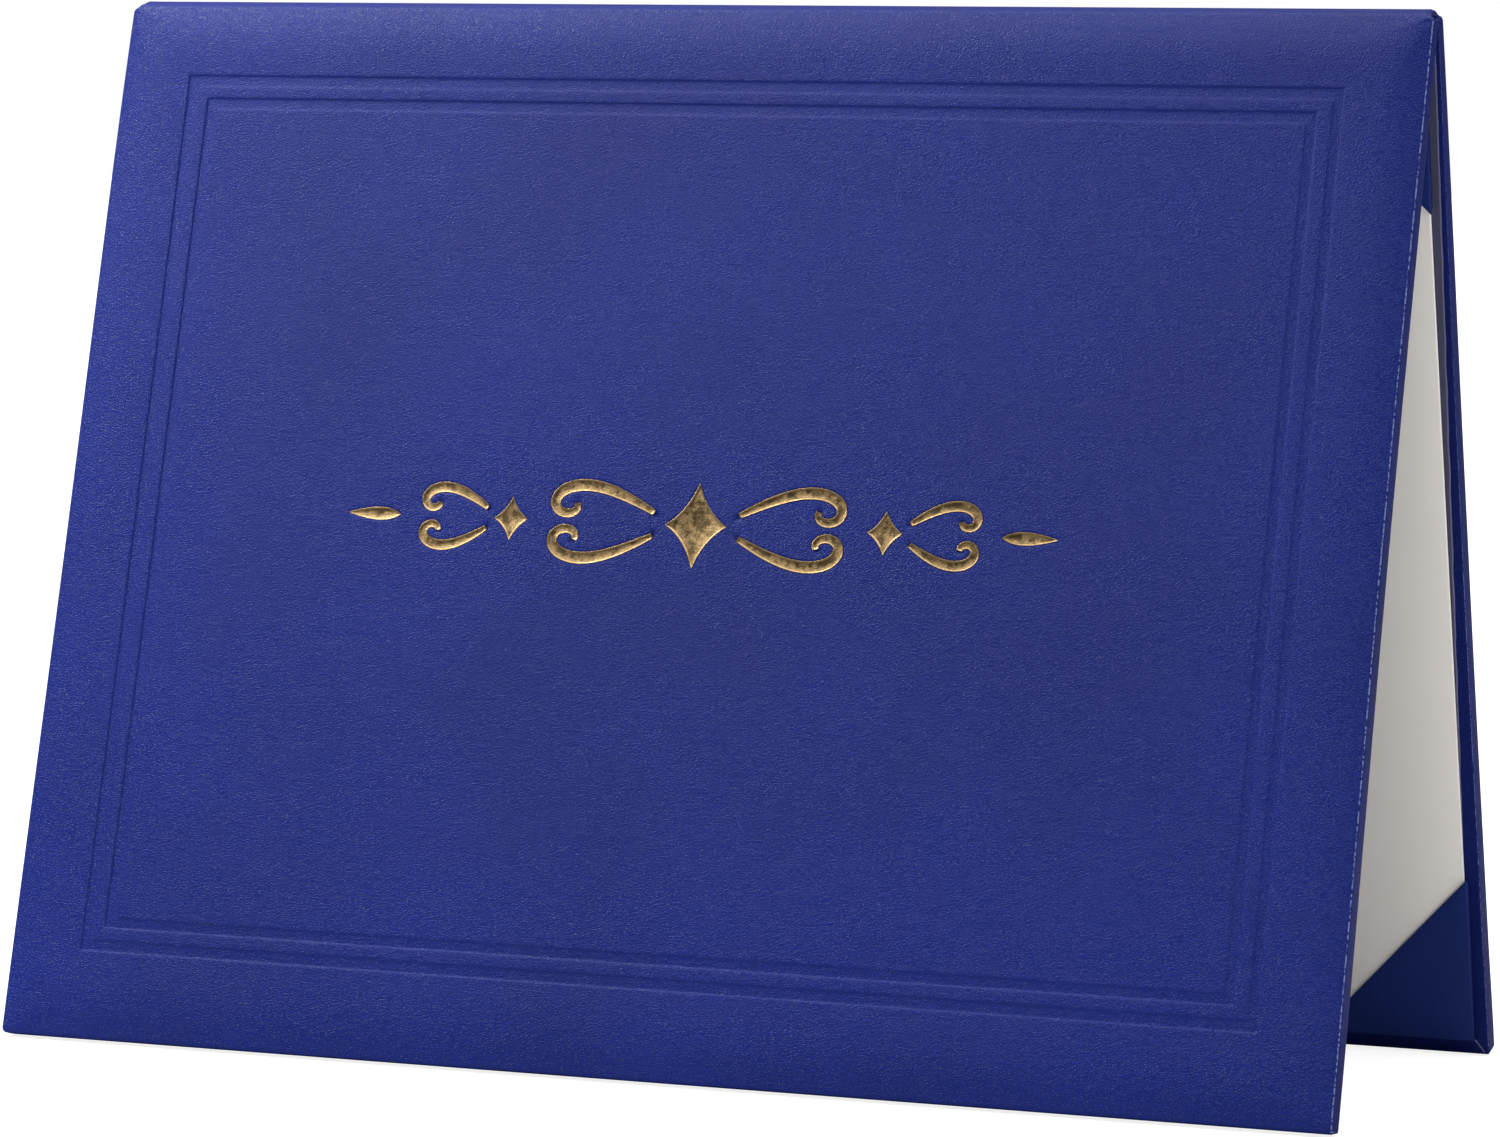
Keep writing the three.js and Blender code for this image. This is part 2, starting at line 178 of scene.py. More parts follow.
class MeshDraft:
    """Collects points and faces, and makes one closed mesh object of them."""

    def __init__(self, name: str) -> None:
        """Starts an empty draft under the piece's name."""
        self.name = name
        self.points: list[np.ndarray] = []
        self.faces: list[tuple[int, ...]] = []
        self.marked: set[int] = set()
        self.count = 0

    def add(self, points: np.ndarray) -> np.ndarray:
        """Adds points and returns their numbers in the draft."""
        numbers = np.arange(self.count, self.count + len(points))
        self.points.append(points)
        self.count += len(points)
        return numbers

    def bridge(self, first: np.ndarray, second: np.ndarray, closed: bool = True) -> None:
        """Joins two rows of equal length with four-sided faces.

        Args:
            first: point numbers of one row.
            second: point numbers of the next row.
            closed: whether the last point joins the first one again.
        """
        last = len(first) if closed else len(first) - 1
        for i in range(last):
            j = (i + 1) % len(first)
            self.faces.append((int(first[i]), int(second[i]), int(second[j]), int(first[j])))

    def stack(self, rings: Sequence[np.ndarray]) -> None:
        """Joins each ring to the next one."""
        for first, second in zip(rings[:-1], rings[1:]):
            self.bridge(first, second)

    def cap(self, ring: np.ndarray) -> None:
        """Closes a ring with one flat face."""
        self.faces.append(tuple(int(i) for i in ring))

    def build(
        self, material: bpy.types.Material, second: bpy.types.Material | None = None
    ) -> bpy.types.Object:
        """Makes the object with outward normals and smooth shading.

        Args:
            material: the finish of the whole piece.
            second: the finish of its marked faces.

        Returns:
            The new object, linked to the scene.
        """
        mesh = bpy.data.meshes.new(self.name)
        mesh.from_pydata(np.concatenate(self.points).tolist(), [], self.faces)
        if second:
            mesh.materials.append(material)
            mesh.materials.append(second)
            for number in self.marked:
                mesh.polygons[number].material_index = 1
        work = bmesh.new()
        work.from_mesh(mesh)
        bmesh.ops.remove_doubles(work, verts=work.verts, dist=1e-7)
        bmesh.ops.triangulate(work, faces=[f for f in work.faces if len(f.verts) > 4])
        bmesh.ops.recalc_face_normals(work, faces=work.faces)
        for face in work.faces:
            face.smooth = True
        work.to_mesh(mesh)
        work.free()
        if not second:
            mesh.materials.append(material)
        piece = bpy.data.objects.new(self.name, mesh)
        bpy.context.scene.collection.objects.link(piece)
        return piece


@dataclass(frozen=True)
class CoverForm:
    """The soft outer form of one padded cover."""

    cover: Cover
    skin_level: float
    tent: Tent = Tent()
    steps: RingSteps = RingSteps()
    width: float = 292.0
    spine_gap: float = 1.5
    foot_press: float = 0.55
    padded_thickness: float = 6.3
    roll_width: float = 12.0
    roll_power: float = 2.2
    shoulder_at_spine: float = 3.6
    shoulder_at_foot: float = 5.0
    edge_radius: float = 0.75
    edge_turn_degrees: float = 70.0
    side_pinch: float = 0.35
    shoulder_power: int = 6
    right_drift: Pairs = ((0.0, 0.0), (230.0, 0.0))
    side_zone: float = 0.8

    @property
    def face_level(self) -> float:
        """The level of the flat middle of the outer face."""
        return self.skin_level + self.padded_thickness

    @property
    def length(self) -> float:
        """The cover's length from the hinge line to its pressed foot."""
        return float(self.tent.floor_reach(np.float64(self.skin_level))) + self.foot_press

    @property
    def foot_flat_top(self) -> float:
        """The level where the pressed flat under the foot ends."""
        return self.skin_level + self.foot_press / math.tan(self.tent.lean)

    def shoulder_level(self, down: np.ndarray) -> np.ndarray:
        """The level where the padding meets the rounded edge; it thickens towards the foot."""
        along = np.clip((down - self.spine_gap) / (self.length - self.spine_gap), 0, 1)
        fullness = 1 - (1 - along) ** self.shoulder_power
        rise = self.shoulder_at_spine + (self.shoulder_at_foot - self.shoulder_at_spine) * fullness
        return self.skin_level + rise

    def roll_level(self, inset: float, down: np.ndarray) -> np.ndarray:
        """The level of the soft roll at some distance in from the edge."""
        rise = 1 - (1 - min(inset / self.roll_width, 1.0)) ** self.roll_power
        low = self.shoulder_level(down)
        return low + (self.face_level - low) * rise

    def ring(self, insets: Insets, radius: float) -> tuple[np.ndarray, np.ndarray]:
        """One rounded rectangle in the cover's plane.

        Args:
            insets: distances in from the four edges.
            radius: the radius of its corners.

        Returns:
            The x and down values of its points, from the upper right corner over the spine.
        """
        half = self.width / 2
        left, right = -half + insets.left, half - insets.right
        top, bottom = self.spine_gap + insets.spine, self.length - insets.foot
        corners = (
            (right - radius, top + radius, 0.0, self.steps.along),
            (left + radius, top + radius, 90.0, self.steps.down),
            (left + radius, bottom - radius, 180.0, self.steps.along),
            (right - radius, bottom - radius, 270.0, self.steps.down),
        )
        arcs = []
        for x, down, start, _ in corners:
            angle = np.radians(start + 90.0 * np.arange(self.steps.corner + 1) / self.steps.corner)
            arcs.append(np.stack([x + radius * np.cos(angle), down - radius * np.sin(angle)], axis=1))
        rows = []
        for k, (_, _, _, side) in enumerate(corners):
            share = (np.arange(1, side) / side)[:, None]
            start, end = arcs[k][-1], arcs[(k + 1) % 4][0]
            rows += [arcs[k], start + (end - start) * share]
        points = np.concatenate(rows)
        x, down = points[:, 0], points[:, 1]
        pinch = self.side_pinch * np.sin(np.pi * np.clip(down / self.length, 0, 1)) ** 2
        near = np.clip((np.abs(x) - self.side_zone * half) / ((1 - self.side_zone) * half), 0, 1)
        drift = np.where(x > 0, self.drift_at(down), 0.0)
        return x + (drift - np.sign(x) * pinch) * near, down

    def drift_at(self, down: np.ndarray | float) -> np.ndarray:
        """How far the right side is out of square at some distance down the cover."""
        return np.interp(down, *zip(*self.right_drift))

    def place(
        self, x: np.ndarray, down: np.ndarray, level: np.ndarray, margin: float = 0.0
    ) -> np.ndarray:
        """Puts points on this cover, with the soft foot kept above the floor.

        Args:
            x: places along the spine.
            down: distances down the cover.
            level: distances outward.
            margin: how far the foot stays above the floor.

        Returns:
            An array of points in metres.
        """
        level = np.broadcast_to(level, x.shape)
        reach = self.tent.floor_reach(level) - margin
        return self.tent.place(self.cover, x, np.minimum(down, reach), level)

    def ring_points(
        self, insets: Insets, radius: float, level: Level | float, margin: float = 0.0
    ) -> np.ndarray:
        """One ring of placed points, at a level or with a level for each point."""
        x, down = self.ring(insets, radius)
        height = level(x, down) if callable(level) else np.full_like(x, level)
        return self.place(x, down, height, margin)


def filled_outline(
    border: np.ndarray, inner_points: np.ndarray, loops: Sequence[np.ndarray] = ()
) -> tuple[np.ndarray, list[tuple[int, ...]]]:
    """Fills a convex outline with triangles through given points and along given loops.

    Args:
        border: the outline's points in the plane, which come first in the result.
        inner_points: loose points inside it.
        loops: closed lines inside it, which triangles don't cross.

    Returns:
        All points in the plane, and the triangles between them.
    """
    points = [tuple(p) for p in border] + [tuple(p) for p in inner_points]
    edges = [(i, (i + 1) % len(border)) for i in range(len(border))]
    for loop in loops:
        first = len(points)
        points += [tuple(p) for p in loop]
        edges += [(first + i, first + (i + 1) % len(loop)) for i in range(len(loop))]
    found = delaunay_2d_cdt([Vector(p) for p in points], edges, [], 1, 1e-6)
    made, triangles, origins = found[0], found[2], found[3]
    order = {}
    extra = []
    for number, origin in enumerate(origins):
        on_border = [i for i in origin if i < len(border)]
        if on_border:
            order[number] = on_border[0]
        else:
            order[number] = len(border) + len(extra)
            extra.append((made[number][0], made[number][1]))
    plane = np.concatenate([np.array(border, float), np.array(extra, float).reshape(-1, 2)])
    return plane, [tuple(order[i] for i in triangle) for triangle in triangles]


def lattice(low: tuple[float, float], high: tuple[float, float], step: float, seed: int) -> np.ndarray:
    """A slightly uneven lattice of points in a rectangle.

    Args:
        low: the least x and down.
        high: the greatest x and down.
        step: the distance between neighbours.
        seed: the seed of the unevenness.

    Returns:
        The points, one row each.
    """
    xs = np.arange(low[0] + step / 2, high[0], step)
    downs = np.arange(low[1] + step / 2, high[1], step)
    grid = np.stack(np.meshgrid(xs, downs), axis=-1).reshape(-1, 2)
    return grid + np.random.default_rng(seed).uniform(-0.2, 0.2, grid.shape) * step


@dataclass(frozen=True)
class Lozenge:
    """A concave four-pointed lozenge."""

    x: float
    half_length: float
    half_height: float
    pinch: float = 0.28
    tip_margin: float = 1.6
    steps: int = 9

    def outline(self, side: int, margin: float) -> np.ndarray:
        """The lozenge's outline, with a margin round it.

        Args:
            side: 1 to the right of the cover's middle and -1 to the left.
            margin: the distance to stay outside the foil.

        Returns:
            Its points as x and rise above the ornament's middle.
        """
        wide = self.half_length + self.tip_margin * margin
        tall = self.half_height + self.tip_margin * margin
        bend_wide, bend_tall = wide * self.pinch + margin, tall * self.pinch + margin
        tips = [(0.0, -tall), (wide, 0.0), (0.0, tall), (-wide, 0.0)]
        quarters = ((1, -1), (1, 1), (-1, 1), (-1, -1))
        bends = [(across * bend_wide, upward * bend_tall) for across, upward in quarters]
        rows = []
        for k, bend in enumerate(bends):
            share = (np.arange(self.steps) / self.steps)[:, None]
            start, middle, end = np.array(tips[k]), np.array(bend), np.array(tips[(k + 1) % 4])
            rows.append((1 - share) ** 2 * start + 2 * share * (1 - share) * middle + share**2 * end)
        return np.concatenate(rows) + np.array([side * self.x, 0.0])


@dataclass(frozen=True)
class Needle:
    """A slim pointed stroke at the ornament's end."""

    start: float = 67.0
    end: float = 78.0
    half_height: float = 1.1
    swell_at: float = 0.3
    start_margin: float = 1.2
    end_margin: float = 3.0
    steps: int = 18

    def outline(self, side: int, margin: float) -> np.ndarray:
        """The needle's outline, with a margin round it; see Lozenge.outline."""
        middle = self.start + (self.end - self.start) * self.swell_at
        first = np.array([side * (self.start - self.start_margin * margin), 0.0])
        last = np.array([side * (self.end + self.end_margin * margin), 0.0])
        bend = 2 * (self.half_height + margin)
        share = (np.arange(self.steps) / self.steps)[:, None]
        rows = []
        for a, b, height in ((first, last, bend), (last, first, -bend)):
            top = np.array([side * middle, height])
            rows.append((1 - share) ** 2 * a + 2 * share * (1 - share) * top + share**2 * b)
        return np.concatenate(rows)


@dataclass(frozen=True)
class Scroll:
    """A tapered stroke along a line that bends harder and harder, closing in a curl."""

    x: float
    rise: float
    heading_degrees: float
    length: float
    stretch: float
    bend_start: float
    bend_end: float
    half_width: float
    steps: int = 44
    bend_power: float = 2.6
    tip_half_width: float = 0.12
    swell_start: float = 0.05
    swell_reach: float = 0.86
    swell_power: float = 0.8

    def outline(self, side: int, upward: int, margin: float) -> np.ndarray:
        """The stroke's outline, with a margin round it.

        Args:
            side: 1 to the right of the cover's middle and -1 to the left.
            upward: 1 for the upper copy and -1 for the lower one.
            margin: the distance to stay outside the foil.

        Returns:
            Its points as x and rise above the ornament's middle.
        """
        heading, x, rise = math.radians(self.heading_degrees), self.x, self.rise
        step = self.length / self.steps
        left, right = [], []
        for i in range(self.steps + 1):
            along = i / self.steps
            phase = math.pi * (along * self.swell_reach + self.swell_start)
            half = margin + self.tip_half_width + self.half_width * math.sin(phase) ** self.swell_power
            for row, turn in ((left, math.pi / 2), (right, -math.pi / 2)):
                across = heading + turn
                edge_x, edge_rise = x + half * math.cos(across), rise + half * math.sin(across)
                row.append((side * edge_x, upward * edge_rise))
            bend = self.bend_start + (self.bend_end - self.bend_start) * along**self.bend_power
            heading -= math.radians(bend) * step
            x += math.cos(heading) * step * self.stretch
            rise += math.sin(heading) * step
        return np.array(left + right[::-1])


@dataclass(frozen=True)
class FoilOrnament:
    """The gold foil stamp: a lozenge between scrolls, tapering to a needle at each end."""

    centre_down: float = 112.0
    depth: float = 0.26
    wall: float = 0.2
    lip: float = 0.02
    foil_thickness: float = 0.06
    centre: Lozenge = Lozenge(0.0, 6.4, 8.6)
    middle: Lozenge = Lozenge(41.5, 3.4, 4.2)
    needle: Needle = Needle()
    large: Scroll = Scroll(9.5, 2.4, 36.0, 26.6, 1.35, 0.95, 43.0, 0.85)
    small: Scroll = Scroll(47.0, 2.1, 40.0, 19.0, 1.2, 1.8, 55.0, 0.7, steps=34)
    leather_margins: tuple[float, ...] = (0.0, 0.2, 0.34, 0.8, 1.5)
    sink_curve: Pairs = (
        (-0.02, 0.47), (0.0, 0.46), (0.1, 0.36), (0.2, 0.23), (0.27, 0.12), (0.34, 0.06), (0.5, 0.035),
        (0.8, 0.015), (1.5, 0.0),
    )
    zone_half: tuple[float, float] = (84.0, 16.0)
    fine_step: float = 1.3
    clear_distance: float = 1.7
    search_margin: float = 3.0

    def patches(self) -> dict[str, Callable[[float], np.ndarray]]:
        """Each patch of foil, as its node's name and the function that draws it with a margin."""
        drawn = {"foil_centre_lozenge": partial(self.centre.outline, 1)}
        for side_name, side in (("left", -1), ("right", 1)):
            for place, upward in (("upper", 1), ("lower", -1)):
                for size, scroll in (("large", self.large), ("small", self.small)):
                    name = f"foil_{size}_scroll_{place}_{side_name}"
                    drawn[name] = partial(scroll.outline, side, upward)
            drawn[f"foil_middle_lozenge_{side_name}"] = partial(self.middle.outline, side)
            drawn[f"foil_end_needle_{side_name}"] = partial(self.needle.outline, side)
        return drawn

    def in_cover(self, outline: np.ndarray) -> np.ndarray:
        """Turns x and rise into x and down on the cover."""
        return np.stack([outline[:, 0], self.centre_down - outline[:, 1]], axis=1)

    def distance(self, points: np.ndarray) -> np.ndarray:
        """Distances from points of the cover's plane to the nearest foil, negative inside it."""
        nearest = np.full(len(points), 1e9)
        inside = np.zeros(len(points), bool)
        for draw in self.patches().values():
            loop = self.in_cover(draw(0.0))
            low, high = loop.min(0) - self.search_margin, loop.max(0) + self.search_margin
            near = np.flatnonzero(((points > low) & (points < high)).all(1))
            if not len(near):
                continue
            p = points[near][:, None, :]
            a, b = loop[None], np.roll(loop, -1, axis=0)[None]
            edge = b - a
            share = np.clip(((p - a) * edge).sum(-1) / np.maximum((edge**2).sum(-1), 1e-12), 0, 1)
            away = np.linalg.norm(p - a - share[..., None] * edge, axis=-1).min(1)
            nearest[near] = np.minimum(nearest[near], away)
            over = (a[..., 1] > p[..., 1]) != (b[..., 1] > p[..., 1])
            span = np.where(np.abs(edge[..., 1]) < 1e-12, 1e-12, edge[..., 1])
            crossing = a[..., 0] + (p[..., 1] - a[..., 1]) * edge[..., 0] / span
            inside[near] |= (over & (p[..., 0] < crossing)).sum(1) % 2 == 1
        return np.where(inside, -nearest, nearest)

    def leather_sink(self, points: np.ndarray) -> np.ndarray:
        """How far the leatherette is pressed in at points of the cover's plane."""
        return np.interp(self.distance(points), *zip(*self.sink_curve))

    def fine_points(self) -> np.ndarray:
        """A fine lattice over the stamp's zone, clear of the foil's own outlines."""
        wide, tall = self.zone_half
        low, high = (-wide, self.centre_down - tall), (wide, self.centre_down + tall)
        fine = lattice(low, high, self.fine_step, 12)
        return fine[self.distance(fine) > self.clear_distance]

    def in_zone(self, points: np.ndarray) -> np.ndarray:
        """Which points lie in the stamp's zone."""
        wide, tall = self.zone_half
        return (np.abs(points[:, 0]) < wide) & (np.abs(points[:, 1] - self.centre_down) < tall)

    def build(self, form: CoverForm, material: bpy.types.Material) -> list[bpy.types.Object]:
        """Makes each patch as a thin dish of foil in its recess.

        Args:
            form: the front cover's form.
            material: the foil's finish.

        Returns:
            The patches' objects.
        """
        depth, wall = self.depth, self.wall
        stations = (
            (-0.05, -depth - self.foil_thickness),
            (wall + 0.04, -self.foil_thickness - self.lip),
            (wall + 0.06, 0.0),
            (wall, -self.lip),
            (0.55 * wall, -0.5 * depth),
            (0.12 * wall, -0.93 * depth),
            (-0.03, -depth),
        )
        made = []
        for name, draw in self.patches().items():
            draft = MeshDraft(name.replace("foil_", "gold_"))
            rings = []
            for margin, height in stations:
                loop = self.in_cover(draw(margin))
                level = np.full(len(loop), form.face_level + height)
                rings.append(draft.add(form.place(loop[:, 0], loop[:, 1], level)))
            draft.stack(rings)
            draft.cap(rings[0])
            draft.cap(rings[-1])
            piece = draft.build(material)
            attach(piece, Cover.FRONT.value)
            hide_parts(name)
            made.append(piece)
        return made


@dataclass(frozen=True)
class PressedFrame:
    """The double frame pressed into the front, from the groove walls' insets."""

    walls: tuple[Insets, ...] = (
        Insets(17.0, 16.55, 15.85, 18.4),
        Insets(19.6, 18.65, 18.4, 20.8),
        Insets(22.0, 21.75, 20.9, 23.5),
        Insets(24.5, 23.9, 23.4, 25.7),
    )
    corner_radius: float = 0.35
    inner_wall: Pairs = (
        (0.6, 0.0), (0.22, 0.008), (0.04, 0.045), (-0.1, 0.1), (-0.26, 0.15), (-0.44, 0.18), (-0.7, 0.2),
    )
    outer_wall: Pairs = (
        (0.6, 0.28), (0.24, 0.29), (0.1, 0.26), (0.0, 0.16), (-0.1, 0.07), (-0.26, 0.025), (-0.7, 0.0),
    )

    def stations(self) -> list[tuple[Insets, float]]:
        """The frame's rings from the middle of the face outward, as insets and depth."""
        found = []
        for groove in (2, 0):
            found += [(self.walls[groove + 1].shifted(shift), sunk) for shift, sunk in self.inner_wall]
            found += [(self.walls[groove].shifted(shift), sunk) for shift, sunk in self.outer_wall]
        return found


@dataclass(frozen=True)
class LeatherCover:
    """The leatherette of one cover, with its pad and board."""

    form: CoverForm
    frame_lines: PressedFrame | None = None
    ornament: FoilOrnament | None = None
    skin_thickness: float = 0.5
    turn_in: float = 15.0
    turn_in_at_spine: float = 2.2
    seam_depth: float = 0.14
    inner_radius: float = 0.3
    pad_gap: float = 0.25
    board_thickness: float = 1.8
    board_gap: float = 0.25
    wave_height: float = 0.05
    roll_stations: Pairs = (
        (12.0, 1.5), (10.5, 4.0), (9.0, 5.6), (7.5, 6.3), (6.0, 6.0), (5.0, 5.4), (4.0, 4.6),
        (3.2, 3.8), (2.5, 3.1), (1.9, 2.5), (1.3, 1.9), (0.8, 1.6),
    )
    edge_corner: tuple[float, float] = (1.4, 1.0)
    inner_corner: float = 0.6
    turned_corner: float = 0.5
    pad_clearance: float = 0.05
    pad_depth: float = 0.3
    calm_edge: float = 6.5
    fill_step: float = 6.0
    fill_margin: float = 3.0

    def wave(self, x: np.ndarray, down: np.ndarray) -> np.ndarray:
        """A very slight unevenness of the padding under the face."""
        first = np.sin(x / 31.0 + 0.6) * np.sin(down / 27.0 + 1.1)
        second = np.sin((x + 1.3 * down) / 47.0 + 2.0)
        third = np.sin((x - 0.8 * down) / 19.0) * 0.35
        return self.wave_height * (first + 0.7 * second + third)

    def face_height(self, pressed: float, sunk: float, x: np.ndarray, down: np.ndarray) -> np.ndarray:
        """The level of the flat face, pressed in and laid under the outer surface by some depth."""
        return self.form.face_level - pressed - sunk + self.wave(x, down)

    def roll_height(
        self, inset: float, calm: float, sunk: float, x: np.ndarray, down: np.ndarray
    ) -> np.ndarray:
        """The level of the soft roll, with the face's unevenness calmed towards the edge."""
        return self.form.roll_level(inset, down) - sunk + self.wave(x, down) * calm

    def edge_height(self, inset: float, drop: float, x: np.ndarray, down: np.ndarray) -> np.ndarray:
        """The level on the rounded edge, below the place where the roll ends."""
        return self.form.roll_level(inset, down) - drop

    def seam_height(self, x: np.ndarray, down: np.ndarray) -> np.ndarray:
        """The level of the turned-in leatherette, which dips at its mitred seams."""
        return self.form.skin_level + self.seam_depth * self.form.steps.seam_share()

    def face_rings(self, draft: MeshDraft, sunk: float, detailed: bool) -> list[np.ndarray]:
        """The rings of the face and the roll, from the middle outward.

        Args:
            draft: the mesh that takes the rings.
            sunk: how far they lie below the outer surface.
            detailed: whether the pressed frame shows in them.

        Returns:
            The point numbers of each ring.
        """
        form = self.form
        rings = []
        if detailed and self.frame_lines:
            frame_lines = self.frame_lines
            for insets, pressed in frame_lines.stations():
                level = partial(self.face_height, pressed, sunk)
                rings.append(draft.add(form.ring_points(insets, frame_lines.corner_radius, level, sunk)))
        for inset, radius in self.roll_stations:
            calm = min(max(inset - self.calm_edge, 0.0) / (form.roll_width - self.calm_edge), 1.0)
            level = partial(self.roll_height, inset, calm, sunk)
            rings.append(draft.add(form.ring_points(Insets.even(inset), radius, level, sunk)))
        return rings

    def edge_rings(self, draft: MeshDraft, sunk: float, steps: int) -> list[np.ndarray]:
        """The rings of the rounded outer edge, from the roll to the side face."""
        form = self.form
        turn = math.radians(form.edge_turn_degrees)
        start_inset = form.edge_radius * (1 - math.cos(turn))
        rings = []
        for step in range(steps + 1):
            angle = turn * (1 - step / steps)
            inset = form.edge_radius * (1 - math.cos(angle)) + sunk * math.cos(angle)
            drop = form.edge_radius * (math.sin(turn) - math.sin(angle)) + sunk * math.sin(angle)
            level = partial(self.edge_height, start_inset, drop)
            start, end = self.edge_corner
            radius = start + (end - start) * step / steps
            rings.append(draft.add(form.ring_points(Insets.even(inset), radius, level, sunk)))
        return rings

    def build_skin(self, name: str, material: bpy.types.Material) -> bpy.types.Object:
        """Makes the leatherette: over the face, round the edges and turned in on the inner side.

        Args:
            name: the piece's name.
            material: the leatherette's finish.

        Returns:
            The skin's object.
        """
        form, draft = self.form, MeshDraft(name)
        rings = self.face_rings(draft, 0.0, True)
        self.fill_face(draft, rings[0])
        rings += self.edge_rings(draft, 0.0, 6)
        skin, thick, radius = form.skin_level, self.skin_thickness, self.inner_radius
        outer = self.edge_corner[1]
        rings.append(draft.add(form.ring_points(Insets.even(0.0), outer, form.foot_flat_top)))
        for degrees in (0, 30, 60, 90):
            angle = math.radians(degrees)
            inset, level = radius * (1 - math.cos(angle)), skin + radius * (1 - math.sin(angle))
            rings.append(draft.add(form.ring_points(Insets.even(inset), outer, level)))
        for share in (0.06, 0.5, 1.0):
            insets = Insets.even(share * self.turn_in, share * self.turn_in_at_spine)
            rings.append(draft.add(form.ring_points(insets, self.turned_corner, self.seam_height)))
        inner = Insets.even(self.turn_in, self.turn_in_at_spine)
        rings.append(draft.add(form.ring_points(inner, self.turned_corner, skin + thick)))
        for insets, level in (
            (Insets.even(thick + 0.1), skin + thick), (Insets.even(thick), form.foot_flat_top)
        ):
            rings.append(draft.add(form.ring_points(insets, self.inner_corner, level, thick)))
        rings += self.edge_rings(draft, thick, 3)[::-1]
        rings += self.face_rings(draft, 2 * thick + self.pad_clearance, False)[::-1]
        draft.stack(rings)
        draft.cap(rings[-1])
        return draft.build(material)

    def fill_face(self, draft: MeshDraft, ring: np.ndarray) -> None:
        """Fills the middle of the face inside its innermost ring, with the stamp pressed in."""
        form = self.form
        if self.frame_lines:
            insets, _ = self.frame_lines.stations()[0]
            radius = self.frame_lines.corner_radius
        else:
            insets, radius = Insets.even(self.roll_stations[0][0]), self.roll_stations[0][1]
        x, down = form.ring(insets, radius)
        border = np.stack([x, down], axis=1)
        low, high = border.min(0) + self.fill_margin, border.max(0) - self.fill_margin
        loose = lattice(tuple(low), tuple(high), self.fill_step, 11)
        loops = []
        if self.ornament:
            loose = np.concatenate([loose[~self.ornament.in_zone(loose)], self.ornament.fine_points()])
            for draw in self.ornament.patches().values():
                loops += [self.ornament.in_cover(draw(m)) for m in self.ornament.leather_margins]
        plane, triangles = filled_outline(border, loose, loops)
        sunk = self.ornament.leather_sink(plane) if self.ornament else 0.0
        level = form.face_level + self.wave(plane[:, 0], plane[:, 1]) - sunk
        points = form.place(plane[:, 0], plane[:, 1], level)
        extra = draft.add(points[len(border):])
        numbers = np.concatenate([ring, extra])
        draft.faces += [tuple(int(numbers[i]) for i in triangle) for triangle in triangles]

    def build_pad(self, name: str, material: bpy.types.Material) -> bpy.types.Object:
        """Makes the foam pad: flat on the board and rolled at its edges, under the leatherette."""
        form, draft = self.form, MeshDraft(name)
        sunk = 2 * self.skin_thickness + self.pad_depth
        bottom = form.skin_level + self.skin_thickness + self.board_thickness + 2 * self.board_gap
        rings = self.face_rings(draft, sunk, False)
        draft.cap(rings[0])
        rings.append(draft.add(form.ring_points(Insets.even(1.5), 1.6, bottom + 0.5, sunk)))
        rings.append(draft.add(form.ring_points(Insets.even(2.0), 1.5, bottom, sunk)))
        draft.stack(rings)
        draft.cap(rings[-1])
        return draft.build(material)


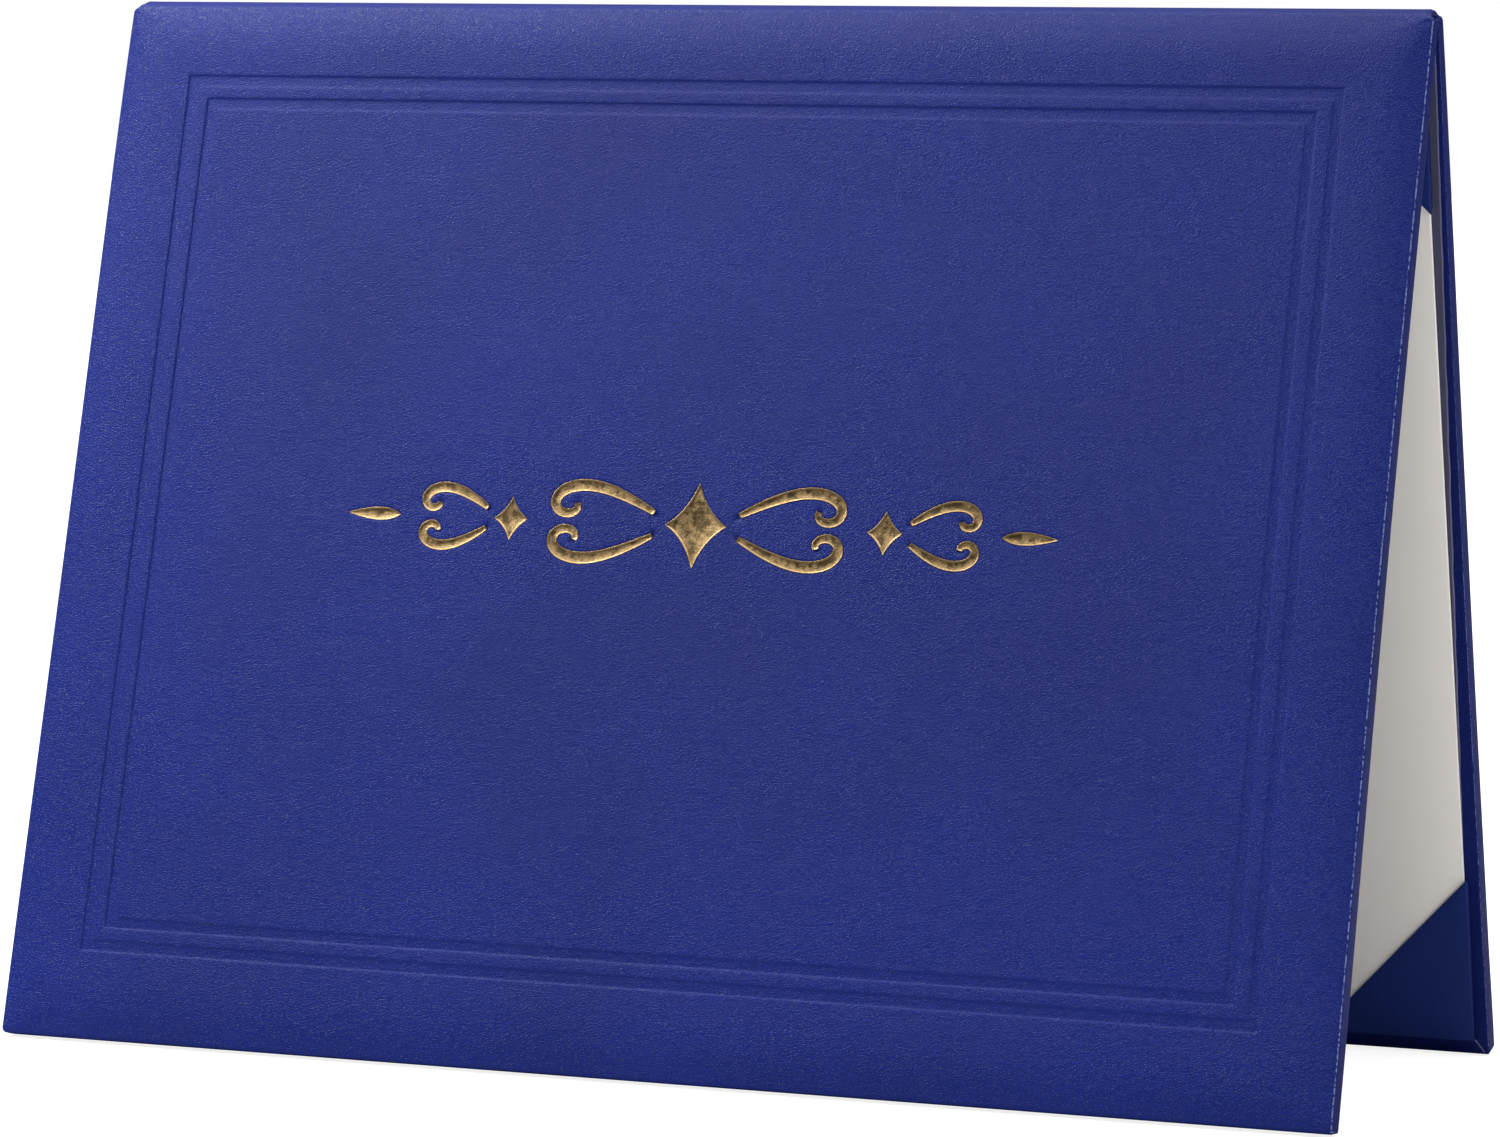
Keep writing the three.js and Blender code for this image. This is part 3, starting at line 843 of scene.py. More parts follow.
@dataclass(frozen=True)
class SpineWrap:
    """The leatherette that arches over the hinge, from one cover's edge to the other's."""

    front: CoverForm
    back: CoverForm
    half_length: float = 145.2
    crown_height: float = 219.93
    thickness: float = 0.42
    end_fold: float = 2.6
    end_depth: float = 1.35
    end_round: float = 1.1
    stations: int = 90
    profile_steps: int = 72
    filling: float = 0.85
    end_lift: float = 0.4
    tuck: float = 0.14
    corner_reach: float = 6.0
    least_side: float = 0.3
    crease_depth: float = 0.1
    crease_turns: float = 21.0
    end_droop: float = 0.25
    least_thickness: float = 0.02
    roll_lifts: Pairs = (
        (5.4, -0.06), (4.8, -0.03), (4.2, 0.0), (3.6, 0.03), (3.0, 0.05), (2.4, 0.07), (1.8, 0.09),
        (1.2, 0.11),
    )
    edge_lifts: Pairs = ((66, 0.17), (54, 0.22), (42, 0.28), (30, 0.35), (18, 0.42))
    crown_drops: Pairs = ((-2.9, 0.42), (-1.2, 0.06), (0.3, 0.0), (1.7, 0.05), (3.1, 0.3))
    blend_half: float = 3.4

    def edge_point(
        self, form: CoverForm, degrees: float, lift: float
    ) -> tuple[float, float, float, float]:
        """A point over a cover's rounded edge at the spine.

        Args:
            form: the cover's form.
            degrees: the place round the edge, 0 on the side face and 70 on the roll.
            lift: the height above the cover's leatherette.

        Returns:
            The point's y and z, its lift and its inset from the edge.
        """
        turn, angle = math.radians(form.edge_turn_degrees), math.radians(degrees)
        start_inset = form.edge_radius * (1 - math.cos(turn))
        down_start = np.float64(form.spine_gap + start_inset)
        centre = float(form.roll_level(start_inset, down_start)) - form.edge_radius * math.sin(turn)
        reach = form.edge_radius + lift
        down = form.spine_gap + form.edge_radius - reach * math.cos(angle)
        level = centre + reach * math.sin(angle)
        point = form.tent.place(form.cover, np.float64(0), np.float64(down), np.float64(level)) / MM
        return float(point[1]), float(point[2]), lift, 0.0

    def roll_point(
        self, form: CoverForm, inset: float, lift: float
    ) -> tuple[float, float, float, float]:
        """A point a little above a cover's soft roll: its y and z, its lift and its inset."""
        down = np.float64(form.spine_gap + inset)
        level = np.float64(float(form.roll_level(inset, down)) + lift)
        point = form.tent.place(form.cover, np.float64(0), down, level) / MM
        return float(point[1]), float(point[2]), lift, inset

    def profile(self) -> np.ndarray:
        """The arch's outer line in y and z from front to back, with its lift and its inset on the covers."""
        sides = []
        for form in (self.front, self.back):
            rows = [self.roll_point(form, inset, lift) for inset, lift in self.roll_lifts]
            sides.append(rows + [self.edge_point(form, degrees, lift) for degrees, lift in self.edge_lifts])
        full = self.thickness / self.filling
        over = [(y, self.crown_height - drop, full, 0.0) for y, drop in self.crown_drops]
        points = np.array(sides[0] + over + sides[1][::-1])
        strides = np.linalg.norm(np.diff(points[:, :2], axis=0), axis=1)
        along = np.concatenate([[0], np.cumsum(strides)])
        fine = np.linspace(0, along[-1], self.profile_steps)
        smooth = np.stack([np.interp(fine, along, points[:, k]) for k in range(4)], axis=1)
        for _ in range(3):
            smooth[1:-1] = (smooth[:-2] + 2 * smooth[1:-1] + smooth[2:]) / 4
        return smooth

    def drift(self, share: np.ndarray, x: float) -> np.ndarray:
        """How far the arch's right end is out of square with the covers' right sides."""
        ends = [float(form.drift_at(form.spine_gap)) for form in (self.front, self.back)]
        return np.interp(share, (-0.5, 0.5), ends) * max(0.0, x / self.half_length) ** 8

    def settle(self, found: np.ndarray, x: np.ndarray) -> np.ndarray:
        """The shift that lays the arch on the covers' rolls where these turn down to the sides.

        Args:
            found: the profile's points.
            x: the points' places along the spine.

        Returns:
            The shifts in y and z.
        """
        shifts = np.zeros((len(found), 2))
        for k, (inset, place) in enumerate(zip(found[:, 3], x)):
            form = self.front if 2 * k < len(found) else self.back
            drift = float(form.drift_at(form.spine_gap + inset)) if place > 0 else 0.0
            side = max(form.width / 2 - abs(place) + drift, self.least_side)
            corner = min(self.corner_reach, 0.5 + inset)
            near = max(0.0, corner - abs(side - inset))
            reached = max(min(inset, side) - near**2 / (4 * corner), self.least_side)
            if inset <= reached or inset < 1:
                continue
            down = np.float64(form.spine_gap + inset)
            fall = float(form.roll_level(inset, down)) - float(form.roll_level(reached, down))
            fall += self.tuck * min(1.0, 2 * (inset - reached))
            facing = 1 if form is self.front else -1
            shifts[k] = facing * fall * math.cos(form.tent.lean), -fall * math.sin(form.tent.lean)
        return shifts

    def arc_length(self) -> float:
        """The length across the arch in metres, from one cover's roll to the other's."""
        return float(np.linalg.norm(np.diff(self.profile()[:, :2], axis=0), axis=1).sum()) * MM

    def build(self, material: bpy.types.Material) -> bpy.types.Object:
        """Makes the wrap with its folded, slightly wrinkled ends."""
        found = self.profile()
        line, lift = found[:, :2], found[:, 2:3]
        slope = np.gradient(line, axis=0)
        inward = np.stack([slope[:, 1], -slope[:, 0]], axis=1)
        inward /= np.linalg.norm(inward, axis=1)[:, None]
        share = np.linspace(-1, 1, len(line))
        swell = np.sqrt(np.clip(1 - share**6, 0, 1))[:, None]
        draft = MeshDraft("spine_wrap")
        ease = np.linspace(-1, 1, self.stations)
        places = np.sign(ease) * (1 - (1 - np.abs(ease)) ** 1.6) * (self.half_length - self.end_round)
        rings = []
        turns = np.radians([18, 36, 54, 72, 90])
        ends = [
            (self.half_length - self.end_round * (1 - math.sin(t)), max(math.cos(t), 0.05)) for t in turns
        ]
        rows = [(-x, size) for x, size in reversed(ends)] + [(x, 1.0) for x in places] + ends
        free = np.clip(lift / self.end_lift, 0, 1) ** 2
        thin = np.clip(lift * self.filling, self.least_thickness, self.thickness)
        for x, size in rows:
            near = max(0.0, 1 - (self.half_length - abs(x)) / self.end_fold)
            fold = near * near * (3 - 2 * near)
            depth = self.thickness + (self.end_depth - self.thickness) * fold
            ripple = np.sin(share * self.crease_turns + 3 * np.sign(x))[:, None]
            crease = self.crease_depth * fold * ripple * swell * free
            across = x + self.drift(share, x)
            seat = line + self.settle(found, across)
            outer = seat - inward * crease * 0.7
            sheet = thin + (depth - self.thickness) * free
            droop = np.array([0, -self.end_droop * fold]) * free
            inner = seat + inward * (sheet * swell + crease) + droop
            loop = np.concatenate([outer, inner[::-1]])
            middle = (outer + inner) / 2
            loop = np.concatenate([middle, middle[::-1]]) * (1 - size) + loop * size
            points = np.column_stack([np.concatenate([across, across[::-1]]), loop]) * MM
            rings.append(draft.add(points))
        draft.stack(rings)
        draft.cap(rings[0])
        draft.cap(rings[-1])
        return draft.build(material)


@dataclass(frozen=True)
class InnerPlate:
    """A thin plate or sheet on a cover's inner side, from its outline in x and down."""

    name: str
    cover: Cover
    outline: Pairs
    near_level: float
    far_level: float
    rounding: float = 0.1
    edge_step: float = 2.0
    edge_waver: float = 0.0
    face_waver: float = 0.0
    fill_step: float = 9.0
    raw_rim: float = 0.0
    tent: Tent = Tent()

    def fine_outline(self) -> np.ndarray:
        """The outline with points every few millimetres, slightly uneven if it was cut by hand."""
        corners = np.array(self.outline)
        rows = []
        for start, end in zip(corners, np.roll(corners, -1, axis=0)):
            count = max(int(np.linalg.norm(end - start) / self.edge_step), 1)
            share = (np.arange(count) / count)[:, None]
            across = np.array([end[1] - start[1], start[0] - end[0]]) / np.linalg.norm(end - start)
            waver = np.sin(share * count * 0.9) * np.sin(share * count * 0.23 + 1) * np.sin(share * np.pi)
            rows.append(start + (end - start) * share + across * waver * self.edge_waver)
        return np.concatenate(rows)

    def spin(self, loop: np.ndarray) -> float:
        """1 or -1, by the way round that an outline's points go."""
        ahead = np.roll(loop, -1, axis=0)
        return float(np.sign((loop[:, 0] * ahead[:, 1] - ahead[:, 0] * loop[:, 1]).sum()))

    def inset(self, loop: np.ndarray, amount: float) -> np.ndarray:
        """The convex outline moved in by a small amount."""
        ahead = np.roll(loop, -1, axis=0) - loop
        behind = loop - np.roll(loop, 1, axis=0)
        normals = []
        for step in (ahead, behind):
            step = step / np.maximum(np.linalg.norm(step, axis=1), 1e-9)[:, None]
            normals.append(np.stack([-step[:, 1], step[:, 0]], axis=1) * self.spin(loop))
        total = normals[0] + normals[1]
        scale = 2 / np.maximum((total**2).sum(1), 0.5)
        return loop + total * scale[:, None] * amount

    def build(
        self, material: bpy.types.Material, raw: bpy.types.Material | None = None
    ) -> bpy.types.Object:
        """Makes the plate as a closed body with rounded rims.

        Args:
            material: the plate's finish.
            raw: the finish of the cut rim on its near side.

        Returns:
            The plate's object.
        """
        draft = MeshDraft(self.name)
        loop = self.fine_outline()
        near, far, soft = self.near_level, self.far_level, self.rounding
        rings = [(soft + self.raw_rim, near)] if raw else []
        for degrees in (90, 45, 0):
            angle = math.radians(degrees)
            rings.append((soft * (1 - math.cos(angle)), near + soft * (1 - math.sin(angle))))
        rings += [(inset, near + far - level) for inset, level in reversed(rings[-3:])]
        draft.marked = set(range(2 * len(loop))) if raw else set()
        numbers = []
        for inset, level in rings:
            line = self.inset(loop, inset)
            levels = np.full(len(line), level)
            numbers.append(draft.add(self.tent.place(self.cover, line[:, 0], line[:, 1], levels)))
        draft.stack(numbers)
        draft.cap(numbers[-1])
        border = self.inset(loop, rings[0][0])
        inner = lattice(tuple(border.min(0)), tuple(border.max(0)), self.fill_step, 21)
        inner = inner[self.depth_inside(border, inner) > 0.5 * self.fill_step]
        plane, triangles = filled_outline(border, inner)
        lift = np.minimum(self.depth_inside(border, plane) / 12, 1) * self.face_waver
        level = near + lift * (np.sin(plane[:, 0] / 23) * np.sin(plane[:, 1] / 29 + 1))
        extra = draft.add(self.tent.place(self.cover, plane[:, 0], plane[:, 1], level)[len(border):])
        order = np.concatenate([numbers[0], extra])
        draft.faces += [tuple(int(order[i]) for i in triangle) for triangle in triangles]
        return draft.build(material, raw)

    def depth_inside(self, border: np.ndarray, points: np.ndarray) -> np.ndarray:
        """How far points lie inside a convex outline; negative outside it."""
        ahead = np.roll(border, -1, axis=0) - border
        normal = np.stack([-ahead[:, 1], ahead[:, 0]], axis=1) * self.spin(border)
        normal /= np.maximum(np.linalg.norm(normal, axis=1), 1e-9)[:, None]
        return ((points[:, None, :] - border[None]) * normal[None]).sum(-1).min(1)


@dataclass(frozen=True)
class CornerPocket:
    """A triangle of leatherette across a corner of the panel, folded down over its two edges."""

    corner: Corner
    panel_corner: tuple[float, float]
    reach: float = 0.55
    leg_across: float = 34.3
    leg_down: float = 36.55
    near_level: float = 0.12
    thickness: float = 0.32
    flange_level: float = 1.62
    fold_radius: float = 0.3
    rim_radius: float = 0.08
    step: float = 1.2
    fill_step: float = 2.5
    fill_margin: float = 1.2
    pucker: float = 0.1
    flat: tuple[float, float] = (0.0359, 0.0382)
    tent: Tent = Tent()

    def outline(self) -> tuple[np.ndarray, np.ndarray]:
        """The triangle's fine outline in x and down, and which of its points are on a folded edge."""
        side, at_foot, _ = self.corner.value
        inward = -1 if at_foot else 1
        corner = np.array(self.panel_corner) + [side * self.reach, -inward * self.reach]
        tips = [corner, corner + [-side * self.leg_across, 0], corner + [0, inward * self.leg_down]]
        rows, folded = [], []
        for k, on_fold in enumerate((True, False, True)):
            start, end = tips[k], tips[(k + 1) % 3]
            count = int(np.linalg.norm(end - start) / self.step)
            rows.append(start + (end - start) * (np.arange(count) / count)[:, None])
            folded.append(np.full(count, on_fold))
        flags = np.concatenate(folded)
        return np.concatenate(rows), flags & np.roll(flags, 1) | (np.arange(len(flags)) == 0)

    def build(self, material: bpy.types.Material) -> bpy.types.Object:
        """Makes the pocket as one closed folded sheet."""
        name = self.corner.value[2].replace("back_pocket", "pocket_corner")
        plate = InnerPlate(name, Cover.BACK, (), self.near_level, self.near_level + self.thickness)
        loop, folded = self.outline()
        near, thick = self.near_level, self.thickness
        soft = np.where(folded, self.fold_radius, self.rim_radius)
        draft = MeshDraft(name)
        rows = [
            (soft * (1 - math.cos(turn)), near + soft * (1 - math.sin(turn)))
            for turn in np.radians([90, 60, 30, 0])
        ]
        rows.append((np.zeros(len(loop)), np.where(folded, self.flange_level, near + thick)))
        rows.append((np.where(folded, thick, 0.1), np.where(folded, self.flange_level, near + thick)))
        rows.append((np.where(folded, thick, 0.3), np.full(len(loop), near + thick)))
        numbers = []
        for inset, level in rows:
            line = loop + (plate.inset(loop, 1.0) - loop) * inset[:, None]
            numbers.append(draft.add(self.tent.place(Cover.BACK, line[:, 0], line[:, 1], level)))
        draft.stack(numbers)
        draft.cap(numbers[-1])
        border = loop + (plate.inset(loop, 1.0) - loop) * rows[0][0][:, None]
        inner = lattice(tuple(border.min(0)), tuple(border.max(0)), self.fill_step, 31)
        inner = inner[plate.depth_inside(border, inner) > self.fill_margin]
        plane, triangles = filled_outline(border, inner)
        lift = np.minimum(plate.depth_inside(border, plane) / 6, 1)
        level = near - self.pucker * lift * np.sin(plane[:, 0] / 7) * np.sin(plane[:, 1] / 9)
        extra = draft.add(self.tent.place(Cover.BACK, plane[:, 0], plane[:, 1], level)[len(border):])
        order = np.concatenate([numbers[0], extra])
        draft.faces += [tuple(int(order[i]) for i in triangle) for triangle in triangles]
        return draft.build(material)


@dataclass(frozen=True)
class InsideLayout:
    """Where the lining and the white panel lie on a cover's inner side; both are cut a little askew."""

    half_width: float = 146.0
    lining_span: tuple[float, float] = (4.2, 221.0)
    lining_left: float = 2.0
    lining_right: tuple[float, float] = (1.85, 3.72)
    panel_span: tuple[float, float] = (5.8, 222.4)
    panel_left: float = 3.8
    panel_right: tuple[float, float] = (4.4, 3.0)
    lining_flat: tuple[float, float] = (0.2882, 0.2168)
    lining_area: float = 0.0623

    def outline(self, span: tuple[float, float], left: float, right: tuple[float, float]) -> Pairs:
        """Four corners in x and down, from the upper left one."""
        half, (top, foot) = self.half_width, span
        return (left - half, top), (half - right[0], top), (half - right[1], foot), (left - half, foot)

    def lining(self) -> Pairs:
        """The lining's corners."""
        return self.outline(self.lining_span, self.lining_left, self.lining_right)

    def panel(self) -> Pairs:
        """The white panel's corners."""
        return self.outline(self.panel_span, self.panel_left, self.panel_right)

    def panel_corner(self, corner: Corner) -> tuple[float, float]:
        """One corner of the white panel."""
        side, at_foot, _ = corner.value
        return self.panel()[(2 if side > 0 else 3) if at_foot else (1 if side > 0 else 0)]


@dataclass(frozen=True)
class FoldedCorners:
    """The cut edges of the leatherette's mitred corners, folded over on a cover's inner side."""

    form: CoverForm
    start: float = 0.9
    end: float = 6.2
    bend: float = 0.35
    half_width: float = 0.16
    proud: float = 0.13
    sunk: float = 0.1
    flat_share: float = 0.7
    steps: int = 8

    def build(self, material: bpy.types.Material) -> bpy.types.Object:
        """Makes the four short edges as one piece."""
        form = self.form
        name = f"{form.cover.value}_corner_edges"
        draft = MeshDraft(name)
        half = form.width / 2
        share = np.linspace(0, 1, self.steps)
        reach = self.start + (self.end - self.start) * share
        bow = self.bend * np.sin(np.pi * share)
        slim = self.half_width * np.clip(np.sin(np.pi * (0.08 + 0.84 * share)) * 2, 0.2, 1)
        spots = np.array([-1.0, -self.flat_share, self.flat_share, 1.0])
        levels = form.skin_level + np.array([self.sunk, -self.proud, -self.proud, self.sunk])
        for side in (1, -1):
            for at_foot in (False, True):
                edge = form.length if at_foot else form.spine_gap
                inward = -1 if at_foot else 1
                drift = form.drift_at(edge) if side > 0 else 0.0
                x = side * (half - reach + bow) + drift
                down = edge + inward * (reach + bow)
                across = np.array([side, inward]) / math.sqrt(2)
                rings = []
                for k in range(self.steps):
                    xs, downs = x[k] + across[0] * slim[k] * spots, down[k] + across[1] * slim[k] * spots
                    rings.append(draft.add(form.place(xs, downs, levels)))
                draft.stack(rings)
                draft.cap(rings[0])
                draft.cap(rings[-1])
        return draft.build(material)


@dataclass(frozen=True)
class SpineLining:
    """The strip of lining that bends round inside the hinge and lies on both linings."""

    front_level: float = 0.1
    back_level: float = 1.8
    legs: tuple[float, ...] = (6.8, 5.6, 4.6)
    radius: float = 1.6
    centre_height: float = 215.7
    thickness: float = 0.18
    half_length: float = 142.0
    steps: int = 18
    stations: int = 24
    blend_half: float = 1.4
    flat: tuple[float, float] = (0.284, 0.0118)
    tent: Tent = Tent()

    def line(self) -> np.ndarray:
        """The strip's inner line in y and z, from the front cover to the back cover."""
        legs = np.array(self.legs)
        none = np.zeros_like(legs)
        front = self.tent.place(Cover.FRONT, none, legs, none + self.front_level)[:, 1:] / MM
        back = self.tent.place(Cover.BACK, none, legs[::-1], none + self.back_level)[:, 1:] / MM
        angle = np.linspace(math.pi, 0, self.steps)
        bend = np.column_stack([np.cos(angle), np.sin(angle)]) * self.radius + [0, self.centre_height]
        return np.concatenate([front, bend, back])

    def build(self, material: bpy.types.Material) -> bpy.types.Object:
        """Makes the bent strip as a closed thin sheet."""
        inner = self.line()
        slope = np.gradient(inner, axis=0)
        outward = np.stack([-slope[:, 1], slope[:, 0]], axis=1)
        outward /= np.linalg.norm(outward, axis=1)[:, None]
        loop = np.concatenate([inner, (inner + outward * self.thickness)[::-1]])
        draft = MeshDraft("spine_lining_strip")
        rings = []
        for x in np.linspace(-self.half_length, self.half_length, self.stations):
            rings.append(draft.add(np.column_stack([np.full(len(loop), x), loop]) * MM))
        draft.stack(rings)
        draft.cap(rings[0])
        draft.cap(rings[-1])
        return draft.build(material)


class ShaderSheet:
    """Places and joins nodes in one node tree."""

    def __init__(self, tree: bpy.types.NodeTree, keep: bool = False) -> None:
        """Starts on an empty tree, or on one whose nodes are kept."""
        self.tree = tree
        if not keep:
            tree.nodes.clear()

    def node(self, kind: str, **settings: object) -> bpy.types.Node:
        """Adds a node, with settings for its properties, or for its inputs where the name is theirs."""
        made = self.tree.nodes.new(kind)
        for name, value in settings.items():
            if hasattr(made, name):
                setattr(made, name, value)
            else:
                made.inputs[name.replace("_", " ").title()].default_value = value
        return made

    def join(self, source: bpy.types.NodeSocket, target: bpy.types.NodeSocket) -> None:
        """Links an output to an input."""
        self.tree.links.new(source, target)

    def math(self, operation: str, *values: bpy.types.NodeSocket | float) -> bpy.types.NodeSocket:
        """Adds a math node over sockets and numbers, and returns its output."""
        made = self.tree.nodes.new("ShaderNodeMath")
        made.operation = operation
        for place, value in zip(made.inputs, values):
            if isinstance(value, (int, float)):
                place.default_value = value
            else:
                self.join(value, place)
        return made.outputs[0]

    def ramp(
        self, source: bpy.types.NodeSocket, low: float, high: float, to_low: float = 0.0, to_high: float = 1.0
    ) -> bpy.types.NodeSocket:
        """Maps a value smoothly from one range to another."""
        made = self.tree.nodes.new("ShaderNodeMapRange")
        made.interpolation_type = "SMOOTHSTEP"
        for place, value in zip(made.inputs[1:5], (low, high, to_low, to_high)):
            place.default_value = value
        self.join(source, made.inputs[0])
        return made.outputs[0]

    def mix(self, factor: bpy.types.NodeSocket, first: object, second: object) -> bpy.types.NodeSocket:
        """Mixes two colours, each given as a socket or as red, green and blue."""
        made = self.tree.nodes.new("ShaderNodeMix")
        made.data_type = "RGBA"
        self.join(factor, made.inputs[0])
        for place, value in ((made.inputs[6], first), (made.inputs[7], second)):
            if isinstance(value, tuple):
                place.default_value = (*value, 1.0)
            else:
                self.join(value, place)
        return made.outputs[2]


def effect_group(
    name: str, inputs: Sequence[tuple[str, str, float]], outputs: Sequence[tuple[str, str]],
    draw: Callable[[ShaderSheet, bpy.types.Node], Sequence[bpy.types.NodeSocket]],
) -> bpy.types.NodeTree:
    """Makes a shared shader effect once, and returns the same group afterwards.

    Args:
        name: the group's name.
        inputs: names, socket kinds and starting values.
        outputs: names and socket kinds.
        draw: makes the nodes from the inputs and returns the output sockets.

    Returns:
        The node group.
    """
    if name in bpy.data.node_groups:
        return bpy.data.node_groups[name]
    tree = bpy.data.node_groups.new(name, "ShaderNodeTree")
    sheet = ShaderSheet(tree)
    for label, kind, value in inputs:
        socket = tree.interface.new_socket(name=label, in_out="INPUT", socket_type=kind)
        if kind == FLOAT:
            socket.default_value = value
    for label, kind in outputs:
        tree.interface.new_socket(name=label, in_out="OUTPUT", socket_type=kind)
    start, end = sheet.node("NodeGroupInput"), sheet.node("NodeGroupOutput")
    for made, place in zip(draw(sheet, start), end.inputs):
        sheet.join(made, place)
    return tree


def pebble_grain() -> bpy.types.NodeTree:
    """Fine embossed leather grain: small uneven domes with valleys between them."""

    def draw(sheet: ShaderSheet, start: bpy.types.Node) -> Sequence[bpy.types.NodeSocket]:
        """Draws domes from cell distances over slightly bent coordinates."""
        place, scale, uneven = (start.outputs[name] for name in ("Vector", "Scale", "Unevenness"))
        bend = sheet.node("ShaderNodeTexNoise", Detail=1.0)
        sheet.join(place, bend.inputs["Vector"])
        sheet.join(sheet.math("MULTIPLY", scale, 0.6), bend.inputs["Scale"])
        shift = sheet.node("ShaderNodeVectorMath", operation="SCALE")
        sheet.join(bend.outputs["Color"], shift.inputs[0])
        sheet.join(sheet.math("DIVIDE", uneven, scale), shift.inputs["Scale"])
        bent = sheet.node("ShaderNodeVectorMath", operation="ADD")
        sheet.join(place, bent.inputs[0])
        sheet.join(shift.outputs[0], bent.inputs[1])
        cells = sheet.node("ShaderNodeTexVoronoi", feature="DISTANCE_TO_EDGE")
        sheet.join(bent.outputs[0], cells.inputs["Vector"])
        sheet.join(scale, cells.inputs["Scale"])
        fine = sheet.node("ShaderNodeTexNoise", Detail=2.0)
        sheet.join(place, fine.inputs["Vector"])
        sheet.join(sheet.math("MULTIPLY", scale, 1.3), fine.inputs["Scale"])
        dome = sheet.ramp(cells.outputs["Distance"], 0.0, 0.32)
        height = sheet.math("MULTIPLY_ADD", fine.outputs["Fac"], 0.9, dome)
        valley = sheet.ramp(cells.outputs["Distance"], 0.16, 0.0)
        return height, valley

    return effect_group(
        "Pebble grain",
        (("Vector", VECTOR, 0), ("Scale", FLOAT, 1300.0), ("Unevenness", FLOAT, 0.8)),
        (("Height", FLOAT), ("Valley", FLOAT)), draw,
    )


def painted_edge_glint() -> bpy.types.NodeTree:
    """Where the leatherette is painted pale in short dashes along its sharp right edges: a painted highlight
    standing in for their glint.
    """

    def draw(sheet: ShaderSheet, start: bpy.types.Node) -> Sequence[bpy.types.NodeSocket]:
        """Draws a band of surface directions between the face and the side, broken up by noise."""
        parts = sheet.node("ShaderNodeSeparateXYZ")
        sheet.join(start.outputs["Normal"], parts.inputs["Vector"])
        spot = sheet.node("ShaderNodeSeparateXYZ")
        sheet.join(start.outputs["Vector"], spot.inputs["Vector"])
        facing = parts.outputs["X"]
        turned = sheet.math("MULTIPLY", sheet.ramp(facing, 0.5, 0.62), sheet.ramp(facing, 0.92, 0.8))
        band = sheet.math("MULTIPLY", turned, sheet.ramp(spot.outputs["X"], 0.1446, 0.1452))
        breaks = sheet.node("ShaderNodeTexNoise", Detail=2.0, Scale=1500.0)
        sheet.join(start.outputs["Vector"], breaks.inputs["Vector"])
        return (sheet.math("MULTIPLY", band, sheet.ramp(breaks.outputs["Fac"], 0.38, 0.6)),)

    inputs = (("Vector", VECTOR, 0), ("Normal", VECTOR, 0))
    return effect_group("Painted edge glint", inputs, (("Value", FLOAT),), draw)


def soft_mottle() -> bpy.types.NodeTree:
    """Slow, uneven variation over a surface."""

    def draw(sheet: ShaderSheet, start: bpy.types.Node) -> Sequence[bpy.types.NodeSocket]:
        """Draws layered noise, spread to fill the range from 0 to 1."""
        noise = sheet.node("ShaderNodeTexNoise", Detail=3.0, Roughness=0.55)
        sheet.join(start.outputs["Vector"], noise.inputs["Vector"])
        sheet.join(start.outputs["Scale"], noise.inputs["Scale"])
        return (sheet.ramp(noise.outputs["Fac"], 0.3, 0.7),)

    inputs = (("Vector", VECTOR, 0), ("Scale", FLOAT, 20.0))
    return effect_group("Soft mottle", inputs, (("Value", FLOAT),), draw)


def paper_fibre() -> bpy.types.NodeTree:
    """Short tangled fibres, as in card, board and paper."""

    def draw(sheet: ShaderSheet, start: bpy.types.Node) -> Sequence[bpy.types.NodeSocket]:
        """Draws two crossed layers of stretched noise."""
        rows = []
        for stretch in ((1.0, 0.25, 0.4), (0.3, 1.0, 0.6)):
            spread = sheet.node("ShaderNodeVectorMath", operation="MULTIPLY")
            sheet.join(start.outputs["Vector"], spread.inputs[0])
            spread.inputs[1].default_value = stretch
            noise = sheet.node("ShaderNodeTexNoise", Detail=3.0, Roughness=0.6)
            sheet.join(spread.outputs[0], noise.inputs["Vector"])
            sheet.join(start.outputs["Scale"], noise.inputs["Scale"])
            rows.append(noise.outputs["Fac"])
        return (sheet.ramp(sheet.math("MULTIPLY", *rows), 0.12, 0.4),)

    inputs = (("Vector", VECTOR, 0), ("Scale", FLOAT, 900.0))
    return effect_group("Paper fibre", inputs, (("Value", FLOAT),), draw)


